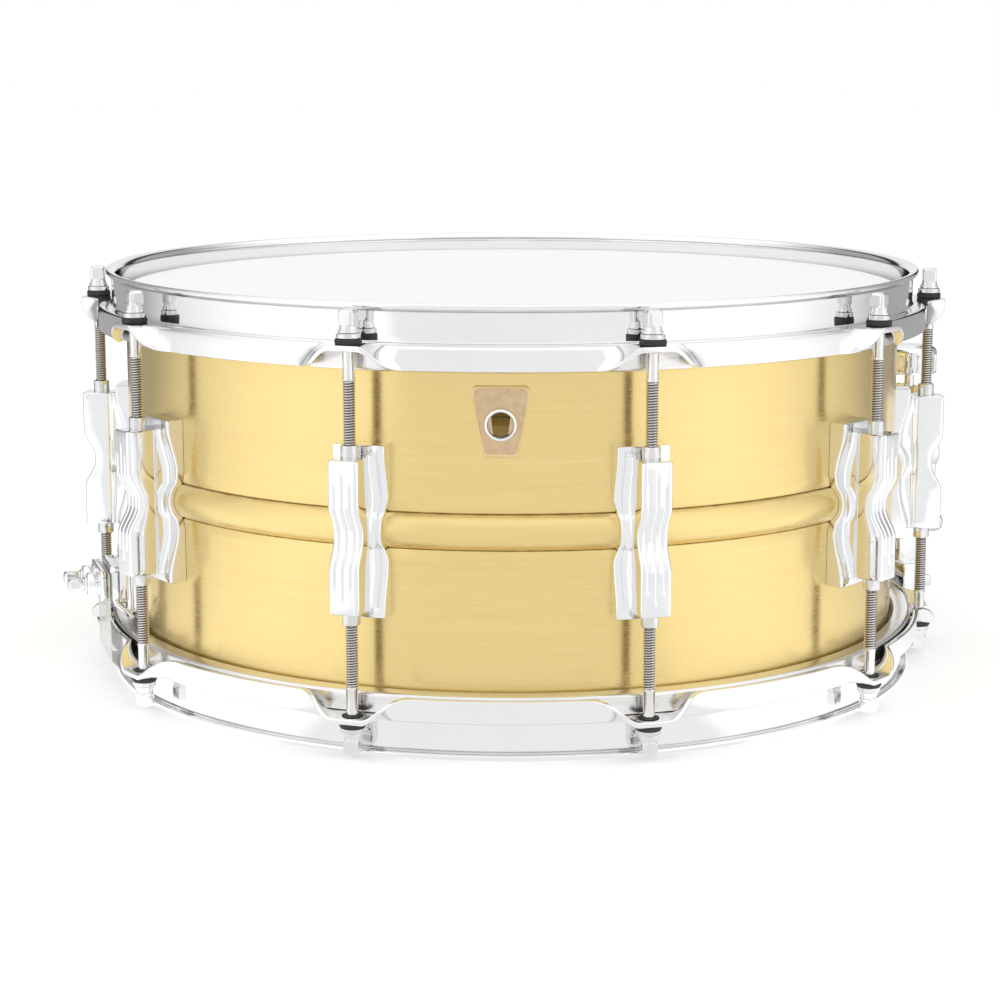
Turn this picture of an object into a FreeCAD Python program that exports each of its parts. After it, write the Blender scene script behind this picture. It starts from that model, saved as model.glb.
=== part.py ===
import FreeCAD, Part
import math
import os

# A 14 by 6.5 inch brass snare drum, in millimetres.
# Z = 0 is the lip of the snare-side hoop, which the drum stands on, and Z is the axis of the shell.
# The snare wires run along X: the strainer is at +X and the butt at -X.
# Heights called "up" are measured from the mid-plane of the shell, positive towards the batter head.

V = FreeCAD.Vector
Z_AXIS = V(0, 0, 1)
X_AXIS = V(1, 0, 0)
CENTRE = V(0, 0, 0)

# Shell
SHELL_R = 176.2
SHELL_WALL = 1.2
SHELL_DEPTH = 165.1
EDGE_UP = SHELL_DEPTH / 2
BEAD_HALF = 7.2
BEAD_PROUD = 3.8
EDGE_CROWN_R = 173.4
EDGE_FLANGE_R = 168.0
SNARE_BED_DEPTH = 1.1
SNARE_BED_RADIUS = 900.0

# Hoops, pressed from one sheet
SHEET = 2.3
LIP_ABOVE_EDGE = 8.95
HEIGHT = SHELL_DEPTH + 2 * LIP_ABOVE_EDGE
MID = HEIGHT / 2
LIP_UP = MID
LIP_R = 184.6
LIP_ROLL = 3.6
COLLAR_IN_R = 180.0
SKIRT_R = 189.2
SHELF_UP = 75.9
SKIRT_UP = 65.8
EAR_R = 6.7
EAR_HOLE_R = 4.4
EAR_ROOT_HALF = 19.0
ARCH_TOP_HALF = 8.0
ARCH_FOOT_HALF = 27.0

# Snare gates: windows in the snare-side hoop for the straps
GATE_HALF = 24.0
GATE_UP = (77.5, 88.8)

# Heads
FILM = 0.25
FILM_UP = EDGE_UP + 0.05
FILM_FLAT_R = EDGE_CROWN_R + 1.0
FILM_SKIRT_R = 177.4
FLESH_R = (177.75, 185.8)
FLESH_UP = (64.8, 73.5)

# Tension rods and their washers
LUG_COUNT = 10
LUG_STEP = 360.0 / LUG_COUNT
ROD_R = 191.5
ROD_HEAD_SIDE = 6.4
ROD_TIP_UP = 89.6
ROD_HEAD_UP = 82.5
ROD_COLLAR_UP = 80.35
ROD_COLLAR_R = 4.15
ROD_SHANK_R = 2.4
ROD_THREAD_R = 2.7
ROD_THREAD_UP = (22.0, 62.3)
RUNNING = 0.1
METAL_WASHER_UP = (78.3, 80.3)
METAL_WASHER_R = 4.95
RUBBER_WASHER_UP = (75.95, 78.25)
RUBBER_WASHER_R = 5.4
RUBBER_SLEEVE_R = 4.2

# Lugs and their inserts
LUG_GAP = 0.1
LUG_FACE_R = 199.5
LUG_POST_IN_R = 186.3
LUG_POST_HALF = 6.45
LUG_POST_UP = 31.0
LUG_WAIST = 4.8
LUG_WAIST_UP = 14.0
LUG_WEB_HALF = 4.6
LUG_FLANGE_HALF = 11.0
LUG_FLANGE_WAIST_HALF = 8.8
LUG_FLANGE_UP = 35.0
INSERT_R = 3.65
INSERT_UP = (13.0, 36.2)

# Screws that hold things to the shell, driven from inside it
SCREW_R = 2.0
SCREW_HEAD_R = 4.0
SCREW_HEAD = 2.7
SCREW_WASHER_R = 5.0
SCREW_WASHER = 1.0
SCREW_SEAT_R = SHELL_R - SHELL_WALL - 0.3
LUG_SCREW_UP = 24.0
LUG_SCREW_END_R = 185.4
STRAINER_SCREW_END_R = 191.0
BUTT_SCREW_END_R = 182.4

# Badge and vent
BADGE_ANGLE = -18.0
BADGE_UP = (30.3, 58.9)
BADGE_HALF = (7.0, 11.6)
BADGE_THICK = 0.9
VENT_UP = 43.5
VENT_R = 5.0
GROMMET_R = 6.3
GROMMET_BARREL_R = 5.6

# Strainer, measured outwards from the drum's axis along +X
SCREW_AXIS_R = 202.3
HOUSING_R = (184.0, 210.7)
HOUSING_HALF = 11.0
HOUSING_UP = (-26.0, 20.0)
CHANNEL_R = (196.3, 208.3)
CHANNEL_HALF = 6.3
STRAINER_PLATE_HALF = 16.0
STRAINER_PLATE_UP = (-33.0, 24.0)
RAIL_R = 198.9
RAIL_HALF = 2.5
RAIL_UP = -55.0
STRAINER_SCREWS_UP = (-29.5, 16.5)
PIVOT_UP = -6.0
PIVOT_R = 5.0
CRANK = 3.5
CRANK_PIN_R = 1.3
LEVER_R = (211.2, 216.6)
LEVER_HUB_R = 8.6
LEVER_TIP_UP = -42.0
LEVER_TIP_R = 4.8
LEVER_TIP_OUT_R = 222.0
SLIDE_UP = (-22.0, 12.0)
SLEEVE_R = 5.0
SLEEVE_UP = 22.0
NUT_ACROSS = 9.0
NUT_UP = 26.5
ADJUST_SCREW_R = 2.3
ADJUST_SCREW_UP = (-59.0, 41.0)
KNOB_R = 13.0
KNOB_UP = (33.0, 46.7)
KNOB_FLUTES = 26
CARRIAGE_UP = (-76.0, -34.0)
SCREW_COLLAR_R = 3.2
JAW_R = (192.6, 199.4)
JAW_HALF = 21.0
JAW_TOP_UP = -58.0
CLAMP_R = (201.0, 203.4)
CLAMP_UP = (-76.0, -60.6)
CLAMP_SCREW_UP = -68.3
CLAMP_SCREW_Y = 12.0

# Butt, measured the same way and then turned to -X
BUTT_PLATE_R = 183.0
BUTT_PLATE_HALF = 17.0
BUTT_PLATE_UP = (-62.5, -29.5)
BUTT_BLOCK_R = 189.9
BUTT_BLOCK_HALF = 15.0
BUTT_BLOCK_UP = (-54.5, -37.5)
BUTT_CLAMP_R = (192.0, 194.4)
BUTT_CLAMP_HALF = 17.0
BUTT_CLAMP_UP = (-53.0, -39.0)
BUTT_BOSS_R = 5.2
BUTT_BOSS_OUT_R = 199.6
BUTT_SCREW_UP = -46.0
BUTT_SCREW_Y = 8.0
BUTT_SCREW_TIP_R = 208.0
BUTT_SCREWS_UP = (-58.6, -33.4)
DRUM_KEY_SIDE = 5.2

# Snare wires
STRANDS = 20
STRAND_R = 0.9
STRAND_PITCH = 2.05
STRAND_END_X = 153.0
STRAND_UP = -(EDGE_UP + 0.05 + FILM + 0.1 + STRAND_R)
END_PLATE_X = (147.0, 166.0)
END_PLATE_UP = (-84.2, -83.4)
END_PLATE_HALF = 21.0
STRAP = 0.45
STRAP_HALF = 20.0
STRAP_UP = -84.475
STRAP_START_X = 154.0
STRAP_BEND_R = 3.0


def z_of(up):
    return MID + up


def box(x, y, up):
    corner = V(x[0], y[0], z_of(up[0]))
    return Part.makeBox(x[1] - x[0], y[1] - y[0], up[1] - up[0], corner)


def rod(radius, up, x=0.0, y=0.0):
    return Part.makeCylinder(radius, up[1] - up[0], V(x, y, z_of(up[0])))


def ring(inner, outer, up, x=0.0, y=0.0):
    return rod(outer, up, x, y).cut(rod(inner, (up[0] - 1, up[1] + 1), x, y))


def radial_rod(radius, r, y=0.0, up=0.0):
    return Part.makeCylinder(radius, r[1] - r[0], V(r[0], y, z_of(up)), X_AXIS)


def turned(shape, degrees):
    copy = shape.copy()
    copy.rotate(CENTRE, Z_AXIS, degrees)
    return copy


def placed(shape, angle):
    # Shapes are made on the +X side; angle is measured from -Y towards +X.
    return turned(shape, angle - 90.0)


def flipped(shape):
    return shape.mirror(V(0, 0, MID), Z_AXIS)


def section(steps):
    # Closed wire in the XZ plane from (r, up) points; a step with two points is an arc through the first.
    edges = []
    start = V(steps[0][0], 0, z_of(steps[0][1]))
    here = start
    for step in steps[1:] + [steps[0]]:
        if isinstance(step[0], tuple):
            via = V(step[0][0], 0, z_of(step[0][1]))
            end = V(step[1][0], 0, z_of(step[1][1]))
            edges.append(Part.Arc(here, via, end).toShape())
        else:
            end = V(step[0], 0, z_of(step[1]))
            if end.distanceToPoint(here) > 1e-6:
                edges.append(Part.makeLine(here, end))
        here = end
    return Part.Face(Part.Wire(edges))


def revolved(steps):
    return section(steps).revolve(CENTRE, Z_AXIS, 360)


def slab(steps, half):
    # The section, made as thick as two halves along Y.
    face = section(steps)
    face.translate(V(0, -half, 0))
    return face.extrude(V(0, 2 * half, 0))


def plate(points, r):
    # A closed outline of (y, up) points in a plane across X, extruded from r[0] to r[1].
    corners = [V(r[0], y, z_of(up)) for y, up in points]
    return Part.Face(Part.makePolygon(corners + [corners[0]])).extrude(V(r[1] - r[0], 0, 0))


def arc_point(cx, cz, radius, degrees):
    angle = math.radians(degrees)
    return (cx + radius * math.cos(angle), cz + radius * math.sin(angle))


def rounded_edges(shape, radius, chosen):
    edges = [edge for edge in shape.Edges if chosen(edge)]
    return shape.makeFillet(radius, edges)


def along(edge, axis):
    if not isinstance(edge.Curve, Part.Line):
        return False
    return abs(abs(edge.tangentAt(edge.FirstParameter).dot(axis)) - 1) < 1e-6


def shell_outline(gap):
    # Everything inside the shell's outer surface, grown by the gap: it hollows the backs of fittings.
    radius = SHELL_R + gap
    bead = (radius + BEAD_PROUD, 0.0)
    foot = BEAD_HALF + gap
    end = EDGE_UP
    steps = [(0.0, -end), (radius, -end), (radius, -foot), (bead, (radius, foot)), (radius, end), (0.0, end)]
    return revolved(steps)


def shell_screw_holes(shell):
    for index in range(LUG_COUNT):
        for up in (LUG_SCREW_UP, -LUG_SCREW_UP):
            hole = radial_rod(SCREW_R + 0.3, (160, 185), 0, up)
            shell = shell.cut(placed(hole, index * LUG_STEP))
    for up in STRAINER_SCREWS_UP:
        shell = shell.cut(radial_rod(SCREW_R + 0.3, (160, 185), 0, up))
    for up in BUTT_SCREWS_UP:
        shell = shell.cut(turned(radial_rod(SCREW_R + 0.3, (160, 185), 0, up), 180))
    return shell


def make_shell():
    outer = SHELL_R
    inner = SHELL_R - SHELL_WALL
    top = EDGE_UP
    steps = [
        (outer, -BEAD_HALF),
        ((outer + BEAD_PROUD, 0.0), (outer, BEAD_HALF)),
        (outer, top - 3.5),
        ((outer - 0.75, top - 1.0), (EDGE_CROWN_R, top)),
        (EDGE_FLANGE_R, top - 3.1),
        (EDGE_FLANGE_R - 0.6, top - 4.1),
        (EDGE_CROWN_R - 0.2, top - 1.4),
        ((inner - 0.6, top - 1.9), (inner, top - 3.5)),
        (inner, BEAD_HALF),
        ((inner + BEAD_PROUD, 0.0), (inner, -BEAD_HALF)),
        (inner, -(top - 3.5)),
        ((inner - 0.6, -(top - 1.9)), (EDGE_CROWN_R - 0.2, -(top - 1.4))),
        (EDGE_FLANGE_R - 0.6, -(top - 4.1)),
        (EDGE_FLANGE_R, -(top - 3.1)),
        (EDGE_CROWN_R, -top),
        ((outer - 0.75, -(top - 1.0)), (outer, -(top - 3.5))),
    ]
    shell = revolved(steps)
    bed_centre = z_of(-EDGE_UP + SNARE_BED_DEPTH - SNARE_BED_RADIUS)
    bed = Part.makeCylinder(SNARE_BED_RADIUS, 400, V(-200, 0, bed_centre), X_AXIS)
    shell = shell.cut(bed)
    vent = placed(radial_rod(GROMMET_BARREL_R + 0.1, (160, 185), 0, VENT_UP), BADGE_ANGLE)
    return shell_screw_holes(shell.cut(vent))


def make_badge():
    low, high = BADGE_UP
    narrow, wide = BADGE_HALF
    right_half = [(narrow, low), (wide, high - 3), (wide - 3, high)]
    left_half = [(-y, up) for y, up in reversed(right_half)]
    outline = right_half + left_half
    curved = plate(outline, (170, 185)).common(
        ring(SHELL_R + LUG_GAP, SHELL_R + LUG_GAP + BADGE_THICK, (low - 5, high + 5))
    )
    curved = curved.cut(radial_rod(GROMMET_BARREL_R + 0.1, (170, 185), 0, VENT_UP))
    return placed(curved, BADGE_ANGLE)


def make_vent_grommet():
    outside = SHELL_R + LUG_GAP + BADGE_THICK + 0.1
    inside = SHELL_R - SHELL_WALL - 0.2
    body = radial_rod(GROMMET_BARREL_R, (inside - 1, outside + 1), 0, VENT_UP)
    body = body.fuse(radial_rod(GROMMET_R, (outside, outside + 1), 0, VENT_UP))
    body = body.fuse(radial_rod(GROMMET_R + 0.4, (inside - 1, inside), 0, VENT_UP))
    body = body.cut(radial_rod(VENT_R, (160, 190), 0, VENT_UP))
    return placed(body.removeSplitter(), BADGE_ANGLE)


def hoop_ring():
    outer_wall = COLLAR_IN_R + SHEET
    roll_r = COLLAR_IN_R + LIP_ROLL
    roll_up = LIP_UP - LIP_ROLL
    shelf_under = SHELF_UP - SHEET
    corner = 1.5
    steps = [
        (COLLAR_IN_R, shelf_under),
        (COLLAR_IN_R, roll_up),
        (arc_point(roll_r, roll_up, LIP_ROLL, 135), (roll_r, LIP_UP)),
        (LIP_R, LIP_UP),
        (LIP_R, LIP_UP - SHEET),
        (roll_r, LIP_UP - SHEET),
        (arc_point(roll_r, roll_up, LIP_ROLL - SHEET, 135), (outer_wall, roll_up)),
        (outer_wall, SHELF_UP + corner),
        (arc_point(outer_wall + corner, SHELF_UP + corner, corner, 225), (outer_wall + corner, SHELF_UP)),
        (SKIRT_R - corner, SHELF_UP),
        (arc_point(SKIRT_R - corner, SHELF_UP - corner, corner, 45), (SKIRT_R, SHELF_UP - corner)),
        (SKIRT_R, SKIRT_UP),
        (SKIRT_R - SHEET, SKIRT_UP),
        (SKIRT_R - SHEET, shelf_under),
    ]
    return revolved(steps)


def hoop_arch():
    # The skirt is cut away under each ear, in an arch that opens towards the lug.
    foot = SKIRT_UP - 1
    top = SHELF_UP - SHEET
    half = (ARCH_TOP_HALF + ARCH_FOOT_HALF) / 2
    outline = [(-ARCH_FOOT_HALF, foot), (-half, foot + 3.2)]
    outline += [(-ARCH_TOP_HALF - 3, top - 1.2), (-ARCH_TOP_HALF, top)]
    outline += [(-y, up) for y, up in reversed(outline)]
    return plate(outline, (184.0, 200.0))


def hoop_ear():
    under = z_of(SHELF_UP - SHEET)
    root = ROD_R - 5.5
    corners = [
        V(root, -EAR_ROOT_HALF, under),
        V(ROD_R + 1.0, -EAR_R, under),
        V(ROD_R + 1.0, EAR_R, under),
        V(root, EAR_ROOT_HALF, under),
        V(COLLAR_IN_R + 1.2, EAR_ROOT_HALF, under),
        V(COLLAR_IN_R + 1.2, -EAR_ROOT_HALF, under),
    ]
    root_plate = Part.Face(Part.makePolygon(corners + [corners[0]])).extrude(V(0, 0, SHEET))
    tip = rod(EAR_R, (SHELF_UP - SHEET, SHELF_UP), ROD_R)
    ear = root_plate.fuse(tip).cut(rod(COLLAR_IN_R + SHEET / 2, (60, 90)))
    return ear


def make_hoop():
    hoop = hoop_ring()
    for index in range(LUG_COUNT):
        angle = index * LUG_STEP
        hoop = hoop.cut(placed(hoop_arch(), angle))
        hoop = hoop.fuse(placed(hoop_ear(), angle))
        hole = rod(EAR_HOLE_R, (60, 90), ROD_R)
        hoop = hoop.cut(placed(hole, angle))
    return hoop.removeSplitter()


def make_snare_hoop(hoop):
    hoop = flipped(hoop)
    gate = box((178.0, 187.0), (-GATE_HALF, GATE_HALF), (-GATE_UP[1], -GATE_UP[0]))
    return hoop.cut(gate).cut(turned(gate, 180))


def make_head():
    # The flat of the film, out to where it turns down over the shell's edge.
    return rod(FILM_FLAT_R, (FILM_UP, FILM_UP + FILM))


def make_head_collar():
    # The film's turned-down edge, which lies on the shell inside the flesh hoop.
    out = FILM_SKIRT_R
    foot = FLESH_UP[0] + 1.2
    steps = [
        (FILM_FLAT_R, FILM_UP),
        ((out - 0.75, FILM_UP - 0.9), (out, FILM_UP - 2.7)),
        (out, foot),
        (out + FILM, foot),
        (out + FILM, FILM_UP - 2.7),
        ((out - 0.55, FILM_UP - 0.7), (FILM_FLAT_R, FILM_UP + FILM)),
    ]
    return revolved(steps)


def make_flesh_hoop():
    body = ring(FLESH_R[0], FLESH_R[1], FLESH_UP)
    outer_low = [e for e in body.Edges if is_circle(e, FLESH_R[1], FLESH_UP[0])]
    return body.makeFillet(1.2, outer_low)


def is_circle(edge, radius, up):
    if not isinstance(edge.Curve, Part.Circle):
        return False
    same_size = abs(edge.Curve.Radius - radius) < 1e-3
    return same_size and abs(edge.Curve.Center.z - z_of(up)) < 1e-3


def square_head(side, length, start, direction):
    # A square key head with its far corners turned down to a shallow dome.
    prism = Part.makeBox(side, side, length, V(-side / 2, -side / 2, 0))
    turned_down = Part.makeCone(side * 0.72, side * 0.42, 1.3, V(0, 0, length - 1.3))
    body = Part.makeCylinder(side * 0.72, length - 1.3).fuse(turned_down)
    head = prism.common(body)
    head.Placement = FreeCAD.Placement(start, FreeCAD.Rotation(Z_AXIS, direction))
    return head


def make_rod():
    thread = rod(ROD_THREAD_R, ROD_THREAD_UP, ROD_R)
    point = Part.makeCone(ROD_THREAD_R - 0.7, ROD_THREAD_R, 1.0, V(ROD_R, 0, z_of(ROD_THREAD_UP[0] - 1)))
    shank = rod(ROD_SHANK_R, (ROD_THREAD_UP[1], ROD_COLLAR_UP), ROD_R)
    collar = rod(ROD_COLLAR_R, (ROD_COLLAR_UP, ROD_HEAD_UP), ROD_R)
    start = V(ROD_R, 0, z_of(ROD_HEAD_UP))
    head = square_head(ROD_HEAD_SIDE, ROD_TIP_UP - ROD_HEAD_UP, start, Z_AXIS)
    return thread.fuse([point, shank, collar, head]).removeSplitter()


def make_rubber_washer():
    # The washer's sleeve fills the ear's hole, so that the rod never touches the hoop.
    flange = ring(ROD_SHANK_R + RUNNING, RUBBER_WASHER_R, RUBBER_WASHER_UP, ROD_R)
    sleeve = ring(ROD_SHANK_R + RUNNING, RUBBER_SLEEVE_R, (SHELF_UP - SHEET, RUBBER_WASHER_UP[0]), ROD_R)
    return flange.fuse(sleeve).removeSplitter()


def on_every_rod(shape):
    upper = [placed(shape, index * LUG_STEP) for index in range(LUG_COUNT)]
    return Part.makeCompound(upper + [flipped(one) for one in upper])


def lug_flange():
    half = LUG_FLANGE_HALF
    waist = LUG_FLANGE_WAIST_HALF
    top = LUG_FLANGE_UP
    right = [(half, -top), (half, -12), (waist, -5), (waist, 5), (half, 12), (half, top)]
    outline = right + [(-y, up) for y, up in reversed(right)]
    thin = SHELL_R + 3.6
    bead = SHELL_R + BEAD_PROUD + 2.6
    side = [
        (SHELL_R - 3, -top),
        (SHELL_R + 7.2, -top),
        (SHELL_R + 7.6, -top + 2.5),
        (thin, -12.0),
        (bead, -5.0),
        (bead, 5.0),
        (thin, 12.0),
        (SHELL_R + 7.6, top - 2.5),
        (SHELL_R + 7.2, top),
        (SHELL_R - 3, top),
    ]
    return plate(outline, (170, 190)).common(slab(side, half))


def lug_post():
    face = LUG_FACE_R
    top = LUG_POST_UP
    waist = LUG_WAIST_UP
    steps = [
        (LUG_POST_IN_R, -top),
        (face - 1.5, -top),
        ((face - 0.45, -top + 0.45), (face, -top + 1.5)),
        (face, -waist),
        ((face - 0.42 * LUG_WAIST, -waist / 2), (face - LUG_WAIST, -1.5)),
        (face - LUG_WAIST, 1.5),
        ((face - 0.42 * LUG_WAIST, waist / 2), (face, waist)),
        (face, top - 1.5),
        ((face - 0.45, top - 0.45), (face - 1.5, top)),
        (LUG_POST_IN_R, top),
    ]
    return slab(steps, LUG_POST_HALF)


def lug_web():
    return box((SHELL_R, LUG_POST_IN_R + 1), (-LUG_WEB_HALF, LUG_WEB_HALF), (-LUG_POST_UP, LUG_POST_UP))


def make_lug():
    lug = lug_post().fuse([lug_web(), lug_flange()]).cut(shell_outline(LUG_GAP))
    for sign in (1, -1):
        bore_up = sorted((sign * (INSERT_UP[0] - 0.2), sign * (LUG_POST_UP + 10)))
        lug = lug.cut(rod(INSERT_R + 0.05, bore_up, ROD_R))
        lug = lug.cut(radial_rod(SCREW_R + 0.1, (170, LUG_SCREW_END_R + 0.3), 0, sign * LUG_SCREW_UP))
    return lug.removeSplitter()


def make_lug_insert():
    return ring(ROD_THREAD_R + RUNNING, INSERT_R, INSERT_UP, ROD_R)


def shell_screw(up, end_r):
    seat = SCREW_SEAT_R - SCREW_WASHER
    head = radial_rod(SCREW_HEAD_R, (seat - SCREW_HEAD, seat), 0, up)
    shank = radial_rod(SCREW_R, (SCREW_SEAT_R - SCREW_WASHER - 0.5, end_r), 0, up)
    slot_r = SCREW_SEAT_R - SCREW_WASHER - SCREW_HEAD
    slot = box((slot_r - 1, slot_r + 1.2), (-5, 5), (up - 0.5, up + 0.5))
    return head.fuse(shank).cut(slot).removeSplitter()


def shell_screw_washer(up):
    seat = (SCREW_SEAT_R - SCREW_WASHER, SCREW_SEAT_R)
    return radial_rod(SCREW_WASHER_R, seat, 0, up).cut(radial_rod(SCREW_R + 0.1, (160, 185), 0, up))


def make_shell_screws():
    shapes = []
    for index in range(LUG_COUNT):
        for up in (LUG_SCREW_UP, -LUG_SCREW_UP):
            shapes.append(placed(shell_screw(up, LUG_SCREW_END_R), index * LUG_STEP))
    shapes += [shell_screw(up, STRAINER_SCREW_END_R) for up in STRAINER_SCREWS_UP]
    shapes += [turned(shell_screw(up, BUTT_SCREW_END_R), 180) for up in BUTT_SCREWS_UP]
    return Part.makeCompound(shapes)


def make_shell_screw_washers():
    shapes = []
    for index in range(LUG_COUNT):
        for up in (LUG_SCREW_UP, -LUG_SCREW_UP):
            shapes.append(placed(shell_screw_washer(up), index * LUG_STEP))
    shapes += [shell_screw_washer(up) for up in STRAINER_SCREWS_UP]
    shapes += [turned(shell_screw_washer(up), 180) for up in BUTT_SCREWS_UP]
    return Part.makeCompound(shapes)


def make_strainer_base():
    half = STRAINER_PLATE_HALF
    foot = box((SHELL_R - 4, HOUSING_R[0] + 0.5), (-half, half), STRAINER_PLATE_UP)
    foot = rounded_edges(foot, 4.0, lambda edge: along(edge, X_AXIS))
    housing = box(HOUSING_R, (-HOUSING_HALF, HOUSING_HALF), HOUSING_UP)
    housing = rounded_edges(housing, 2.5, lambda edge: along(edge, Z_AXIS))
    rail = box((HOUSING_R[0] - 2, RAIL_R), (-RAIL_HALF, RAIL_HALF), (RAIL_UP, HOUSING_UP[0] + 1))
    channel = box(CHANNEL_R, (-CHANNEL_HALF, CHANNEL_HALF), (HOUSING_UP[0] - 1, HOUSING_UP[1] + 1))
    base = foot.fuse([housing, rail]).cut([channel, shell_outline(LUG_GAP)])
    base = base.cut(radial_rod(PIVOT_R + 0.08, (CHANNEL_R[1] - 1, HOUSING_R[1] + 1), 0, PIVOT_UP))
    for up in STRAINER_SCREWS_UP:
        base = base.cut(radial_rod(SCREW_R + 0.1, (170, 191.3), 0, up))
    return base.removeSplitter()


def make_strainer_lever():
    hub = radial_rod(LEVER_HUB_R, LEVER_R, 0, PIVOT_UP)
    hub = rounded_edges(hub, 1.5, lambda edge: is_rim(edge, LEVER_R[1], LEVER_HUB_R))
    outline = [(-6.5, PIVOT_UP), (-4.2, LEVER_TIP_UP), (4.2, LEVER_TIP_UP), (6.5, PIVOT_UP)]
    arm = plate(outline, (LEVER_R[0] + 1, LEVER_R[1] - 0.6))
    tip = radial_rod(LEVER_TIP_R, (LEVER_R[0] + 1, LEVER_TIP_OUT_R), 0, LEVER_TIP_UP)
    tip = rounded_edges(tip, 2.4, lambda edge: is_rim(edge, LEVER_TIP_OUT_R, LEVER_TIP_R))
    pivot = radial_rod(PIVOT_R, (CHANNEL_R[1] - 0.4, LEVER_R[0] + 1), 0, PIVOT_UP)
    pin = radial_rod(CRANK_PIN_R, (CHANNEL_R[1] - 3.0, CHANNEL_R[1]), 0, PIVOT_UP + CRANK)
    return hub.fuse([arm, tip, pivot, pin]).removeSplitter()


def is_rim(edge, r, radius):
    if not isinstance(edge.Curve, Part.Circle):
        return False
    return abs(edge.Curve.Center.x - r) < 1e-3 and abs(edge.Curve.Radius - radius) < 1e-3


def make_strainer_slide():
    block = box((CHANNEL_R[0] + 0.3, CHANNEL_R[1] - 0.7), (0.3 - CHANNEL_HALF, CHANNEL_HALF - 0.3), SLIDE_UP)
    sleeve = rod(SLEEVE_R, (SLIDE_UP[1] - 1, SLEEVE_UP), SCREW_AXIS_R)
    slot_up = PIVOT_UP + CRANK
    slot_r = (CHANNEL_R[1] - 3.3, CHANNEL_R[1])
    slot = box(slot_r, (-CHANNEL_HALF, CHANNEL_HALF), (slot_up - 2.4, slot_up + 2.4))
    bore = rod(ADJUST_SCREW_R + RUNNING, (-80, 80), SCREW_AXIS_R)
    return block.fuse(sleeve).cut([slot, bore]).removeSplitter()


def hexagon(across, up, x):
    radius = across / math.sqrt(3)
    angles = [math.radians(60 * i) for i in range(6)]
    corners = [V(x + radius * math.cos(a), radius * math.sin(a), z_of(up[0])) for a in angles]
    return Part.Face(Part.makePolygon(corners + [corners[0]])).extrude(V(0, 0, up[1] - up[0]))


def make_strainer_nut():
    nut = hexagon(NUT_ACROSS, (SLEEVE_UP, NUT_UP), SCREW_AXIS_R)
    return nut.cut(rod(ADJUST_SCREW_R + RUNNING, (0, 60), SCREW_AXIS_R))


def make_adjust_screw():
    screw = rod(ADJUST_SCREW_R, ADJUST_SCREW_UP, SCREW_AXIS_R)
    collar = rod(SCREW_COLLAR_R, (SLIDE_UP[0] - 3.3, SLIDE_UP[0] - 0.2), SCREW_AXIS_R)
    return screw.fuse(collar).removeSplitter()


def make_knob():
    low, high = KNOB_UP
    steps = [
        (0.0, low),
        (KNOB_R - 0.9, low),
        ((KNOB_R - 0.2, low + 0.4), (KNOB_R, low + 1.2)),
        (KNOB_R, high - 3.6),
        ((KNOB_R - 0.9, high - 1.3), (KNOB_R - 3.4, high)),
        (0.0, high),
    ]
    knob = revolved(steps)
    knob.translate(V(SCREW_AXIS_R, 0, 0))
    for index in range(KNOB_FLUTES):
        angle = 2 * math.pi * index / KNOB_FLUTES
        x = SCREW_AXIS_R + (KNOB_R + 0.35) * math.cos(angle)
        y = (KNOB_R + 0.35) * math.sin(angle)
        knob = knob.cut(rod(1.15, (low + 1.6, high - 4.0), x, y))
    return knob.cut(rod(ADJUST_SCREW_R, (low - 1, ADJUST_SCREW_UP[1]), SCREW_AXIS_R))


def make_carriage():
    block = box((CHANNEL_R[0] + 0.3, 208.0), (-6.0, 6.0), (-60.0, CARRIAGE_UP[1]))
    jaw = box(JAW_R, (-JAW_HALF, JAW_HALF), (CARRIAGE_UP[0], JAW_TOP_UP))
    jaw = rounded_edges(jaw, 3.0, lambda edge: along(edge, X_AXIS))
    slot = box((CHANNEL_R[0], RAIL_R + 0.3), (-RAIL_HALF - 0.25, RAIL_HALF + 0.25), (JAW_TOP_UP, 0))
    bore = rod(ADJUST_SCREW_R + RUNNING, (-63.5, 0), SCREW_AXIS_R)
    carriage = block.fuse(jaw).cut([slot, bore])
    for y in (-CLAMP_SCREW_Y, CLAMP_SCREW_Y):
        carriage = carriage.cut(radial_rod(SCREW_R + 0.1, (193.5, 205), y, CLAMP_SCREW_UP))
    return carriage.removeSplitter()


def make_clamp_plate():
    bar = box(CLAMP_R, (-JAW_HALF, JAW_HALF), CLAMP_UP)
    bar = rounded_edges(bar, 3.0, lambda edge: along(edge, X_AXIS))
    for y in (-CLAMP_SCREW_Y, CLAMP_SCREW_Y):
        bar = bar.cut(radial_rod(SCREW_R + 0.1, (190, 210), y, CLAMP_SCREW_UP))
    return bar


def clamp_screw(start_r, seat_r, tip_r, y, up):
    shank = radial_rod(SCREW_R, (start_r, seat_r + 0.5), y, up)
    collar = radial_rod(3.6, (seat_r, seat_r + 1.3), y, up)
    head = square_head(DRUM_KEY_SIDE, tip_r - seat_r - 1.3, V(seat_r + 1.3, y, z_of(up)), X_AXIS)
    return shank.fuse([collar, head]).removeSplitter()


def make_clamp_screws():
    seat = CLAMP_R[1] + 0.05
    sides = (-CLAMP_SCREW_Y, CLAMP_SCREW_Y)
    return Part.makeCompound([clamp_screw(194.0, seat, 210.6, y, CLAMP_SCREW_UP) for y in sides])


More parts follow.
